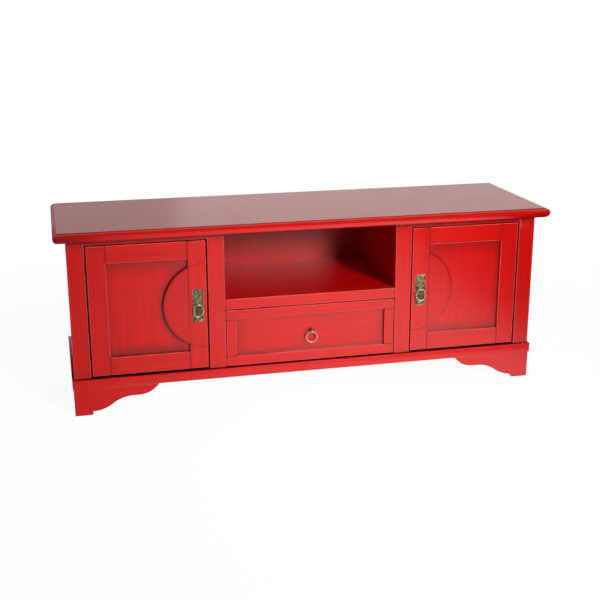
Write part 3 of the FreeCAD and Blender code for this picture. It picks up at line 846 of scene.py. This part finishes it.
class CABINET_OT_boards(bpy.types.Operator):
    """Side panels, and the finish of the boards inside the carcass"""

    bl_idname = "cabinet.boards"
    bl_label = "Boards"

    def execute(self, context):
        for side in SIDES:
            member(f"end_panel_{side}", "carcass", f"{side}_side_panel", "Z",
                   shade=(0.4, 0.4), joint=everywhere)
            paint(f"{side}_divider", lacquer("Z", "Inner"))
        paint("shelf_board", lacquer("X", "Shelf"))
        for node in ("bottom_board", "rear_rail"):
            paint(node, lacquer("X", "Inner"))
        for node in ("back_panel", "corner_blocks"):
            paint(node, lacquer("Z", "Inner"))
        return {"FINISHED"}


class CABINET_OT_plinth(bpy.types.Operator):
    """Mitred moulding, scalloped front brackets and side skirts"""

    bl_idname = "cabinet.plinth"
    bl_label = "Plinth"

    round_segments = 6

    def moulding(self, name, node, axis, mitre, face, shaded_behind=None):
        """A length of moulding, round on top and chamfered below, with painted shade on it behind a given
        place.

        The mitre moves a corner of the plain bar, and the face is given by its axis and place.
        """
        size = sizes()
        low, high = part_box(node)
        bm = block(low, high)
        for vert in bm.verts:
            vert.co = mitre(vert.co.copy())

        def long_edge(z):
            return [edge for edge in bm.edges if lies_at(edge, *face) and lies_at(edge, 2, z)]

        def on_mitre(edge):
            return edge.calc_length() < size.moulding_depth and not lies_at(edge, *face)

        rounded = bevel(bm, long_edge(high.z), size.moulding_round, self.round_segments)
        bevel(bm, long_edge(low.z), size.moulding_quirk, segments=1)
        ease(bm, None, rounded, on_mitre)
        # Painted shade on the moulding's top under and behind the doors' front
        if shaded_behind is not None:
            cut_loops(bm, 1, [shaded_behind, shaded_behind + size.joint_line])
            set_mark(bm, "glaze_and_shade", lambda vert: vert.co.y > shaded_behind + size.joint_line / 2)
        lacquered(bm, name, "carcass", node, axis)

    def bracket(self, side, sign):
        """A front bracket: cove, level stretch, ogee and foot."""
        size = sizes()
        node = f"{side}_front_bracket"
        low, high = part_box(node)
        tip, toe = (low.x, high.x) if sign > 0 else (-high.x, -low.x)
        foot = toe - size.foot_width
        arch = high.z - size.cove_rise
        cove_radius = (size.cove ** 2 + size.cove_rise ** 2) / (2 * size.cove_rise)
        pen = Outline((tip, high.z))
        pen.arc((tip + size.cove, arch), cove_radius)
        pen.lines((tip + size.cove + size.bracket_flat, arch))
        pen.ogee((foot, size.foot_step), -1)
        pen.lines((foot, 0), (toe, 0), (toe, high.z), (tip, high.z))
        bm = pen.pad(low.y, high.y)
        if sign < 0:
            bmesh.ops.scale(bm, vec=(-1, 1, 1), verts=bm.verts)
            bmesh.ops.recalc_face_normals(bm, faces=bm.faces)
        rubbed_end = tip + size.cove / 4
        ease(bm, lambda place: abs(place.x) > rubbed_end)
        lacquered(bm, f"front_bracket_{side}_shaped", "carcass", node, "X")

    def skirt(self, side):
        """A side skirt with a foot at each end and an ogee arch between."""
        size = sizes()
        node = f"{side}_side_skirt"
        low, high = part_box(node)
        arch = high.z - size.cove_rise
        near, far = low.y + size.foot_width, high.y - size.foot_width
        ogee = (far - near - size.side_flat) / 2
        pen = Outline((low.y, 0))
        pen.lines((near, 0), (near, size.foot_step))
        pen.ogee((near + ogee, arch), 1)
        pen.lines((far - ogee, arch))
        pen.ogee((far, size.foot_step), -1)
        pen.lines((far, 0), (high.y, 0), (high.y, high.z), (low.y, high.z), (low.y, 0))
        bm = pen.pad(-high.x, -low.x)
        bmesh.ops.rotate(bm, cent=(0, 0, 0), matrix=Matrix.Rotation(math.pi / 2, 3, "Z"), verts=bm.verts)
        ease(bm, everywhere)
        lacquered(bm, f"end_skirt_{side}", "carcass", node, "Y")

    def execute(self, context):
        front_low, front_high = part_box("front_plinth_moulding")
        for side, sign in SIDES.items():
            node = f"{side}_plinth_moulding"
            low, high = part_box(node)
            inner, outer = (low.x, high.x) if sign > 0 else (high.x, low.x)

            def mitre_side(corner, inner=inner):
                if abs(corner.x - inner) < NEAR and abs(corner.y - front_low.y) < NEAR:
                    corner.y = front_high.y
                return corner

            self.moulding(f"end_moulding_{side}", node, "Y", mitre_side, (0, outer))
            self.bracket(side, sign)
            self.skirt(side)

        side_low, side_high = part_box("right_plinth_moulding")

        def mitre_front(corner):
            if abs(corner.y - front_high.y) < NEAR:
                corner.x -= math.copysign(side_high.x - side_low.x, corner.x)
            return corner

        doors_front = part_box("left_door_hinge_stile")[0].y
        self.moulding("front_moulding", "front_plinth_moulding", "X", mitre_front, (1, front_low.y),
                      doors_front)
        return {"FINISHED"}


class DoorSight:
    """Where a door's panel shows between the stiles and rails, and where its half moon lies."""

    def __init__(self, side):
        low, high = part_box(f"{side}_door_handle_stile")
        self.left, self.right = gap(f"{side}_door_hinge_stile", f"{side}_door_handle_stile")
        self.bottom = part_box(f"{side}_door_bottom_rail")[1].z
        self.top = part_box(f"{side}_door_top_rail")[0].z
        if SIDES[side] > 0:
            self.hinge_edge, self.handle_edge, self.free_edge = self.right, self.left, low.x
        else:
            self.hinge_edge, self.handle_edge, self.free_edge = self.left, self.right, high.x
        self.middle = (self.bottom + self.top) / 2
        self.radius = (self.top - self.bottom) / 2 - sizes().moon_margin

    def off_moon(self, place):
        """How far a place lies outside the moon, whose centre is on the door's free edge."""
        return math.hypot(place.x - self.free_edge, place.z - self.middle) - self.radius


class CABINET_OT_door_frames(bpy.types.Operator):
    """Stiles and rails of both doors, with the moon's groove across the handle stiles"""

    bl_idname = "cabinet.door_frames"
    bl_label = "Door Frames"

    columns = 12

    def handle_stile(self, side, sight):
        """A stile with two arcs of the moon's groove across its face."""
        size = sizes()
        node = f"{side}_door_handle_stile"
        low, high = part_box(node)
        bm = block(low, high)
        ease(bm, lambda place: abs(place.x - sight.handle_edge) < size.joint_line)
        cut_columns(bm, low, high, self.columns)
        rows = [(way, step) for way in (-1, 1) for step in (-2, -1, 0, 1, 2)]
        loops = cut_loops(bm, 2, [sight.middle + way * sight.radius + step * size.groove_width
                                  for way, step in rows])
        face_depth = low.y + size.arris + size.worn_band / 2
        wear_and_highlight, glaze_and_shade = marks(bm)
        for (way, step), loop in zip(rows, loops):
            for vert in loop:
                run = vert.co.x - sight.free_edge
                vert.co.z += way * (math.sqrt(sight.radius ** 2 - run ** 2) - sight.radius)
                # The groove's bottom is dark: glaze with painted shade in the crease
                if step == 0 and vert.co.y < face_depth:
                    vert.co.y += size.groove_depth
                    vert[glaze_and_shade] = 1.0
                    vert[wear_and_highlight] = 0.0
        lacquered(bm, f"door_handle_stile_{side}", f"{side}_door", node, "Z")

    def execute(self, context):
        for side in SIDES:
            body = f"{side}_door"
            sight = DoorSight(side)

            def rail_joint(place, sight=sight):
                beside_rail = not sight.bottom < place.z < sight.top
                return abs(place.x - sight.hinge_edge) < sizes().joint_line and beside_rail

            member(f"door_hinge_stile_{side}", body, f"{side}_door_hinge_stile", "Z", shade=(0.2, 0.3),
                   edges=(0.0, 0.35), joint=rail_joint, breaks=(sight.bottom, sight.top))
            self.handle_stile(side, sight)
            for kind in ("top", "bottom"):
                member(f"door_{kind}_rail_{side}", body, f"{side}_door_{kind}_rail", "X",
                       span=(sight.left, sight.right), shade=(0.2, 0.2), edges=(0.15, 0.0))
        return {"FINISHED"}


# Even darkening of each panel, and the reach in metres and the strength of the darkening at its edges: glaze
# with painted shade from the frame and the half moon
PANEL_GLAZE_AND_SHADE = {
    "left_door": {
        "even": 0.0,
        "hinge": (0.016, 0.36),
        "top": (0.028, 0.65),
        "bottom": (0.023, 0.95),
        "moon": (0.013, 0.75),
    },
    "right_door": {
        "even": 0.0,
        "hinge": (0.016, 0.55),
        "top": (0.026, 0.60),
        "bottom": (0.023, 0.70),
        "moon": (0.006, 0.60),
    },
    "drawer": {
        "even": 0.1,
        "left": (0.024, 0.50),
        "right": (0.016, 0.50),
        "top": (0.009, 0.40),
        "bottom": (0.011, 0.60),
    },
}

# The same on each half moon, at its rim, with painted shade; the left moon, further from the light, is
# darker
MOON_GLAZE_AND_SHADE = {
    "left": {"even": 0.12, "rim": (0.007, 0.75)},
    "right": {"even": 0.06, "rim": (0.004, 0.60)},
}


def edge_darkening(distance, reach, strength):
    """How much darkening, glaze with painted shade, lies at a distance from an edge."""
    return strength * math.exp(-(max(distance, 0) / reach) ** 2)


def panel_darkened_at_edges(name, body, node, axis, away):
    """A flat panel with a plain back, whose face is darkened with glaze and painted shade according to its
    distances from the edges in the table.
    """
    low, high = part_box(node)
    table = PANEL_GLAZE_AND_SHADE[body]
    bm = sheet(low, high, sizes().panel_cell)
    thicken(bm, high.y)

    def glaze_and_shade(vert):
        if vert.co.y > high.y - NEAR:
            return 0.0
        layers = [edge_darkening(distance, *table[edge]) for edge, distance in away(vert.co).items()]
        return 1 - math.prod(1 - layer for layer in (table["even"], *layers))

    set_mark(bm, "glaze_and_shade", glaze_and_shade)
    lacquered(bm, name, body, node, axis)


class CABINET_OT_door_panels(bpy.types.Operator):
    """Door panels darkened round their edges by glaze and painted shade, and the half moons on them"""

    bl_idname = "cabinet.door_panels"
    bl_label = "Door Panels"

    spin_steps = 96
    # Rings of cells inside the rim, counted in widths of a ring
    rings = (1, 2, 3, 5)
    # Part of the arris by which the middle of its rounding lies inside the corner
    round_middle = 0.3
    joint_glaze = 0.8

    def half_moon(self, side, sign, sight):
        """A segment of a disc, turned from its section and cut off where it meets the stile."""
        size = sizes()
        node = f"{side}_door_moon"
        low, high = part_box(node)
        centre, radius, stile_edge = sight.free_edge, sight.radius, sight.handle_edge
        core = abs(stile_edge - centre) / 2
        turn = self.round_middle * size.arris
        section = [(core, high.y), (radius, high.y), (radius, low.y + size.arris)]
        section += [(radius - turn, low.y + turn), (radius - size.arris, low.y)]
        section += [(radius - ring * size.moon_ring, low.y) for ring in self.rings] + [(core, low.y)]
        bm = new_mesh()
        last = bm.verts.new((centre, section[0][1], sight.middle - section[0][0]))
        for out, depth in section[1:]:
            last = bmesh.ops.extrude_vert_indiv(bm, verts=[last])["verts"][0]
            last.co = (centre, depth, sight.middle - out)
        bmesh.ops.spin(bm, geom=bm.verts[:] + bm.edges[:], cent=(centre, 0, sight.middle), axis=(0, -1, 0),
                       dvec=(0, 0, 0), angle=sign * math.pi, steps=self.spin_steps, use_duplicate=False)
        section_cut = cut(bm, (stile_edge, 0, 0), (sign, 0, 0), clear_inner=True)
        ends = [item for item in section_cut if isinstance(item, bmesh.types.BMEdge)]
        bmesh.ops.contextual_create(bm, geom=ends)
        bmesh.ops.recalc_face_normals(bm, faces=bm.faces)
        cut_loops(bm, 0, [stile_edge + sign * size.joint_line])

        # Dark at the joint with the stile, and darker towards the rim by glaze and painted shade
        def glaze_and_shade(vert):
            at_joint = self.joint_glaze * (abs(vert.co.x - stile_edge) < NEAR)
            table = MOON_GLAZE_AND_SHADE[side]
            return max(at_joint, table["even"], edge_darkening(-sight.off_moon(vert.co), *table["rim"]))

        set_mark(bm, "glaze_and_shade", glaze_and_shade)
        lacquered(bm, f"half_moon_{side}", f"{side}_door", node, "Z")

    def execute(self, context):
        for side, sign in SIDES.items():
            sight = DoorSight(side)

            def away(place, sight=sight):
                return {
                    "hinge": abs(sight.hinge_edge - place.x),
                    "top": sight.top - place.z,
                    "bottom": place.z - sight.bottom,
                    "moon": sight.off_moon(place),
                }

            panel_darkened_at_edges(f"door_panel_{side}", f"{side}_door", f"{side}_door_panel", "Z", away)
            self.half_moon(side, sign, sight)
        return {"FINISHED"}


class CABINET_OT_drawer(bpy.types.Operator):
    """Framed drawer front, and the finish of the drawer's box and runners"""

    bl_idname = "cabinet.drawer"
    bl_label = "Drawer"

    def execute(self, context):
        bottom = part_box("drawer_bottom_rail")[1].z
        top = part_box("drawer_top_rail")[0].z
        left, right = gap("left_drawer_stile", "right_drawer_stile")
        for kind, edge in (("top", top), ("bottom", bottom)):

            def joint(place, edge=edge):
                return abs(place.z - edge) < sizes().joint_line and not left < place.x < right

            member(f"drawer_front_{kind}_rail", "drawer", f"drawer_{kind}_rail", "X", shade=(0.15, 0.15),
                   edges=(0.1, 0.0), joint=joint, breaks=(left, right))
        for side in SIDES:
            member(f"drawer_front_stile_{side}", "drawer", f"{side}_drawer_stile", "Z",
                   span=(bottom, top), edges=(0.1, 0.5))
            paint(f"{side}_drawer_side", plain_timber("Y"))

        def away(place):
            return {
                "left": place.x - left,
                "right": right - place.x,
                "top": top - place.z,
                "bottom": place.z - bottom,
            }

        panel_darkened_at_edges("drawer_front_panel", "drawer", "drawer_panel", "X", away)
        for node in ("drawer_back", "drawer_floor"):
            paint(node, plain_timber("X"))
        paint("drawer_runners", plain_timber("Y"))
        return {"FINISHED"}


class Stamping:
    """The figures stamped in a back plate, in millimetres; heights are taken from the wood."""

    field = 1.1
    sunk = 0.8
    rim_edge = 1.2
    rim_top = 1.5
    rim_slope = 0.7
    rim_width = 2.3
    channel_end = 3.4
    reed_rise = 0.55
    reed_pitch = 3.7
    reeds_above_eye = 7
    curl_rise = 0.6
    curl_pitch = 2.6
    curl_radius = 5.2
    curl_out = 6.6
    # How far the centres of the curls and the ends of the reeds lie below the top
    curl_down = 9
    oval_rise = 0.4
    oval_half_width = 10.0
    oval_half_height = 15.5
    oval_below_eye = 18
    # Half the width of the oval's rim, as a part of its size
    oval_band = 0.12
    fan_rise = 0.45
    fan_ribs = 9
    fan_start = 3
    fan_end = 11
    fan_up = 3
    collar_top = 1.85
    collar_step = 0.3
    collar_inner = 4
    collar_outer = 5
    pin_rise = 0.85
    pin_radius = 1.5
    pin_inset = 3.6
    # Height above which the brass is rubbed
    rubbed_from = 1

    def __init__(self, half_width, half_height, eye):
        self.half_width = half_width
        self.half_height = half_height
        self.eye = eye

    def wave(self, phase):
        """Swings from one to nought and back."""
        return 0.5 + 0.5 * math.cos(phase)

    def figures(self, x, z):
        """Height inside the rim and its channel, where later figures lie over earlier ones."""
        height = self.field
        curl_z = self.half_height - self.curl_down
        if self.eye + self.reeds_above_eye < z < curl_z:
            height += self.reed_rise * self.wave(2 * math.pi * x / self.reed_pitch)
        for curl_x in (-self.curl_out, self.curl_out):
            curl = math.hypot(x - curl_x, z - curl_z)
            if curl < self.curl_radius:
                height = self.field + self.curl_rise * self.wave(2 * math.pi * curl / self.curl_pitch)
        # The oval inside the ring is sunk, and so stays dark patina, which also paints the shade under the
        # ring
        oval_z = self.eye - self.oval_below_eye
        oval = math.hypot(x / self.oval_half_width, (z - oval_z) / self.oval_half_height) - 1
        if oval < -self.oval_band:
            height = self.sunk
        elif oval < self.oval_band:
            height = self.field + self.oval_rise * (1 - abs(oval) / self.oval_band)
        fan_z = self.fan_up - self.half_height
        if self.fan_start < math.hypot(x, z - fan_z) < self.fan_end:
            height += self.fan_rise * self.wave(self.fan_ribs * math.atan2(x, z - fan_z))
        collar = math.hypot(x, z - self.eye)
        if collar < self.collar_outer:
            height = self.collar_top - self.collar_step * (collar > self.collar_inner)
        return height

    def height(self, x, z):
        """Height at a place on the plate, measured from its middle."""
        inwards = min(self.half_width - abs(x), self.half_height - abs(z))
        if inwards < self.rim_slope:
            height = self.rim_edge + (self.rim_top - self.rim_edge) * inwards / self.rim_slope
        elif inwards < self.rim_width:
            height = self.rim_top
        elif inwards < self.channel_end:
            height = self.sunk
        else:
            height = self.figures(x, z)
        pin_x, pin_z = self.half_width - self.pin_inset, self.half_height - self.pin_inset
        pin = math.hypot(abs(x) - pin_x, abs(z) - pin_z)
        if pin < self.pin_radius:
            dome = self.pin_rise * math.sqrt(1 - (pin / self.pin_radius) ** 2)
            height = max(height, self.field + dome)
        return height


class CABINET_OT_handle_plates(bpy.types.Operator):
    """Stamped back plates with a rim, reeds above the ring and a fan below it"""

    bl_idname = "cabinet.handle_plates"
    bl_label = "Handle Plates"

    softening = 0.35

    def execute(self, context):
        for side in SIDES:
            node = f"{side}_door_handle_plate"
            low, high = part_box(node)
            eye_low, eye_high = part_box(f"{side}_door_ring_post")
            middle = (low + high) / 2
            half = (high - low) / 2 * MM_PER_METRE
            eye = ((eye_low.z + eye_high.z) / 2 - middle.z) * MM_PER_METRE
            stamping = Stamping(half.x, half.z, eye)
            bm = sheet(low, high, sizes().relief_cell)
            for vert in bm.verts:
                place = (vert.co - middle) * MM_PER_METRE
                vert.co.y = high.y - stamping.height(place.x, place.z) / MM_PER_METRE
            bmesh.ops.smooth_vert(bm, verts=bm.verts, factor=self.softening, use_axis_y=True)
            thicken(bm, high.y)
            set_mark(bm, "wear_and_highlight", lambda vert: (high.y - vert.co.y) * MM_PER_METRE - stamping.rubbed_from)
            finish = brass("Stamped brass", polish=0.0)
            piece(bm, f"back_plate_{side}", f"{side}_door", node, finish)
        return {"FINISHED"}


class CABINET_OT_pulls(bpy.types.Operator):
    """Finish of the rings and of the posts that they hang from"""

    bl_idname = "cabinet.pulls"
    bl_label = "Ring Pulls"

    ring_polish = 0.9
    post_polish = 1.0

    def execute(self, context):
        for pull, kind in (("left_door", "door"), ("right_door", "door"), ("drawer", "drawer")):
            paint(f"{pull}_ring", brass("Rubbed brass", self.ring_polish))
            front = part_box(f"{pull}_ring_post")[0].y
            paint(f"{pull}_ring_post", brass(f"Post of the {kind} pull", self.post_polish, front))
        return {"FINISHED"}


class CABINET_OT_fittings(bpy.types.Operator):
    """Finish of the pivot pins and bushes, the catches and their strike plates"""

    bl_idname = "cabinet.fittings"
    bl_label = "Door Fittings"

    def execute(self, context):
        colours = context.scene.cabinet_colours
        for side in SIDES:
            for kind in ("door_pivot_pins", "door_strike_plate"):
                paint(f"{side}_{kind}", turned_metal("Pivot steel", colours.steel, roughness=0.3))
        paint("pivot_bushes", turned_metal("Bush brass", colours.bush, roughness=0.32))
        paint("door_catches", catch_plastic(colours.catch))
        return {"FINISHED"}


class CABINET_OT_stage(bpy.types.Operator):
    """White floor and surroundings, soft lamps and the camera"""

    bl_idname = "cabinet.stage"
    bl_label = "Studio Stage"

    floor_half = 12
    floor_drop = 0.0002
    # Distances from the cabinet's middle between which its shadow fades, and its brightness
    shadow_fades = (1.0, 2.4)
    shadow_gain = 2.5
    # Stretches along X over which the lit pool rises and ends, and its brightness at the left
    pool_rises = (-1.1, 0.5)
    pool_ends = (0.7, 1.05)
    pool_left = 0.18
    # Stretch along Y over which it brightens towards the cabinet, and what it has at the front
    pool_nears = (-3.0, -1.2)
    pool_front = 0.45
    # Parts of a direction along Y between which the mirrored surroundings change from front to back
    horizon = (-0.2, 0.3)
    # Places and sizes of the lamps; the fills are aimed at the middle
    middle = (0, 0, 0.28)
    key_size = (0.65, 1.0)
    sheen_size = (1.2, 1.2)
    side_fill_at = (3.4, 1.2, 0.7)
    side_fill_size = (1.6, 1.2)
    rear_fill_at = (0.4, 3.6, 1.4)
    rear_fill_size = (1.8, 1.8)
    card_at = (1.3, 3.2, 1.2)
    card_aim = (1.3, 0, 1.2)
    card_size = (2.6, 2.6)

    def floor_material(self, studio, tint):
        """White with a light shadow where it is seen, lit by a pool where it is mirrored."""
        material = bpy.data.materials.new("Studio floor")
        wiring = rewired(material)
        path = wiring.add("ShaderNodeLightPath", {}).outputs
        glossy = path["Is Glossy Ray"]
        seen = wiring.math("MAXIMUM", path["Is Camera Ray"], glossy, path["Is Transmission Ray"])
        place = wiring.add("ShaderNodeTexCoord", {}).outputs["Object"]
        spot = wiring.add("ShaderNodeSeparateXYZ", {"Vector": place}).outputs
        away = wiring.add("ShaderNodeVectorMath", {0: place}, operation="LENGTH").outputs["Value"]

        near = wiring.spread(away, *self.shadow_fades, studio.shadow, 0.0)
        plain = wiring.math("SUBTRACT", 1.0, near)
        rising = wiring.spread(spot["X"], *self.pool_rises, self.pool_left, studio.pool)
        ending = wiring.spread(spot["X"], *self.pool_ends, 1.0, 0.0)
        nearing = wiring.spread(spot["Y"], *self.pool_nears, self.pool_front, 1.0)
        pool = wiring.math("MULTIPLY", rising, ending, nearing)
        mirrored = wiring.math("MULTIPLY", glossy, wiring.math("SUBTRACT", pool, plain))
        glow = wiring.add("ShaderNodeEmission", {"Strength": wiring.math("ADD", plain, mirrored)})

        direct = wiring.math("SUBTRACT", 1.0, glossy)
        shade = wiring.blend(wiring.math("MULTIPLY", direct, near, self.shadow_gain), BLACK, tint)
        shaded = wiring.add("ShaderNodeBsdfDiffuse", {"Color": shade})
        white = wiring.add("ShaderNodeAddShader", {0: glow.outputs[0], 1: shaded.outputs[0]})
        matt = wiring.add("ShaderNodeBsdfDiffuse", {"Color": tint})
        surface = wiring.add("ShaderNodeMixShader", {0: seen, 1: matt.outputs[0], 2: white.outputs[0]})
        wiring.add("ShaderNodeOutputMaterial", {"Surface": surface.outputs[0]})
        return material

    def floor(self, studio, colours):
        """A pale floor just under the cabinet."""
        bm = bmesh.new()
        bmesh.ops.create_grid(bm, x_segments=4, y_segments=4, size=self.floor_half)
        bmesh.ops.translate(bm, vec=(0, 0, CAD_BOX[0][2] - self.floor_drop), verts=bm.verts)
        mesh = bpy.data.meshes.new("studio_floor")
        bm.to_mesh(mesh)
        bm.free()
        mesh.materials.append(self.floor_material(studio, opaque(colours.floor)))
        ground = bpy.data.objects.new("studio_floor", mesh)
        bpy.context.scene.collection.objects.link(ground)

    def surroundings(self, studio):
        """White where it is seen, and a low even light elsewhere."""
        world = bpy.data.worlds.new("Studio")
        bpy.context.scene.world = world
        wiring = rewired(world)
        path = wiring.add("ShaderNodeLightPath", {}).outputs
        heading = wiring.add("ShaderNodeTexCoord", {}).outputs["Generated"]
        backward = wiring.add("ShaderNodeSeparateXYZ", {"Vector": heading}).outputs["Y"]
        bright = wiring.spread(backward, *self.horizon, studio.mirrored_front, studio.mirrored)
        mirrored = wiring.math("MULTIPLY", path["Is Glossy Ray"], bright)
        strength = wiring.math("MAXIMUM", path["Is Camera Ray"], path["Is Transmission Ray"],
                               mirrored, studio.ambient)
        background = wiring.add("ShaderNodeBackground", {"Color": WHITE, "Strength": strength})
        wiring.add("ShaderNodeOutputWorld", {"Surface": background.outputs[0]})

    def lamp(self, name, place, target, size, watts, beam=math.pi, mirrored=False, lights=True):
        """A soft lamp aimed at a point, which may be mirrored by glossy faces and may light matt ones."""
        light = bpy.data.lights.new(name, "AREA")
        light.shape = "RECTANGLE"
        light.size, light.size_y = size
        light.energy = watts
        light.spread = beam
        thing = bpy.data.objects.new(name, light)
        thing.location = place
        thing.rotation_euler = (Vector(target) - Vector(place)).to_track_quat("-Z", "Y").to_euler()
        thing.visible_glossy = mirrored
        thing.visible_diffuse = lights
        bpy.context.scene.collection.objects.link(thing)
        return thing

    def lamps(self, studio):
        """A key lamp and its softer mirror image, which the top is shielded from, fills and a white card."""
        at, aim, beam = studio.key_at, studio.key_aim, studio.key_beam
        self.lamp("key", at, aim, self.key_size, studio.key, beam)
        sheen = self.lamp("sheen", at, aim, self.sheen_size, studio.key, beam, mirrored=True, lights=False)
        shielded = bpy.data.collections.new("shielded_from_sheen")
        shielded.objects.link(bpy.data.objects["top_slab"])
        shielded.collection_objects[0].light_linking.link_state = "EXCLUDE"
        sheen.light_linking.receiver_collection = shielded
        x, y, z = self.side_fill_at
        for side, sign in SIDES.items():
            watts = studio.side_fill * (1 if sign > 0 else studio.left_share)
            self.lamp(f"{side}_fill", (sign * x, y, z), self.middle, self.side_fill_size, watts)
        self.lamp("rear_fill", self.rear_fill_at, self.middle, self.rear_fill_size, studio.rear_fill)
        self.lamp("card", self.card_at, self.card_aim, self.card_size, studio.card,
                  mirrored=True, lights=False)

    def camera(self, scene, studio):
        """The camera at the photo's view."""
        camera = bpy.data.cameras.new("photo_view")
        camera.sensor_width = studio.sensor
        camera.lens = studio.lens
        view = bpy.data.objects.new("photo_view", camera)
        view.location = studio.camera_at
        view.rotation_euler = studio.camera_turn
        scene.collection.objects.link(view)
        scene.camera = view
        scene.view_settings.view_transform = "Standard"

    def execute(self, context):
        studio = context.scene.cabinet_studio
        self.floor(studio, context.scene.cabinet_colours)
        self.surroundings(studio)
        self.lamps(studio)
        self.camera(context.scene, studio)
        return {"FINISHED"}


STEPS = (
    CABINET_OT_top_board,
    CABINET_OT_face_frame,
    CABINET_OT_boards,
    CABINET_OT_plinth,
    CABINET_OT_door_frames,
    CABINET_OT_door_panels,
    CABINET_OT_drawer,
    CABINET_OT_handle_plates,
    CABINET_OT_pulls,
    CABINET_OT_fittings,
    CABINET_OT_stage,
)

SETTINGS = {
    "cabinet_sizes": CabinetSizes,
    "cabinet_colours": CabinetColours,
    "cabinet_studio": CabinetStudio,
}


class VIEW3D_PT_cabinet(bpy.types.Panel):
    """Lists the pieces of the cabinet and their settings"""

    bl_label = "Cabinet"
    bl_idname = "VIEW3D_PT_cabinet"
    bl_space_type = "VIEW_3D"
    bl_region_type = "UI"
    bl_category = "Cabinet"

    def draw(self, context):
        for step in STEPS:
            self.layout.operator(step.bl_idname)
        for setting in SETTINGS:
            group = getattr(context.scene, setting)
            box = self.layout.box()
            for name in group.bl_rna.properties.keys():
                if name not in ("rna_type", "name"):
                    box.prop(group, name)


def register():
    """Registers the settings, the operators and the panel."""
    for name, group in SETTINGS.items():
        bpy.utils.register_class(group)
        setattr(bpy.types.Scene, name, PointerProperty(type=group))
    for step in (*STEPS, VIEW3D_PT_cabinet):
        bpy.utils.register_class(step)


def unregister():
    """Takes everything out again."""
    for step in (VIEW3D_PT_cabinet, *reversed(STEPS)):
        bpy.utils.unregister_class(step)
    for name, group in SETTINGS.items():
        delattr(bpy.types.Scene, name)
        bpy.utils.unregister_class(group)


def main():
    """Builds every piece."""
    register()
    for step in STEPS:
        getattr(bpy.ops.cabinet, step.bl_idname.split(".")[1])()


if __name__ == "__main__":
    main()
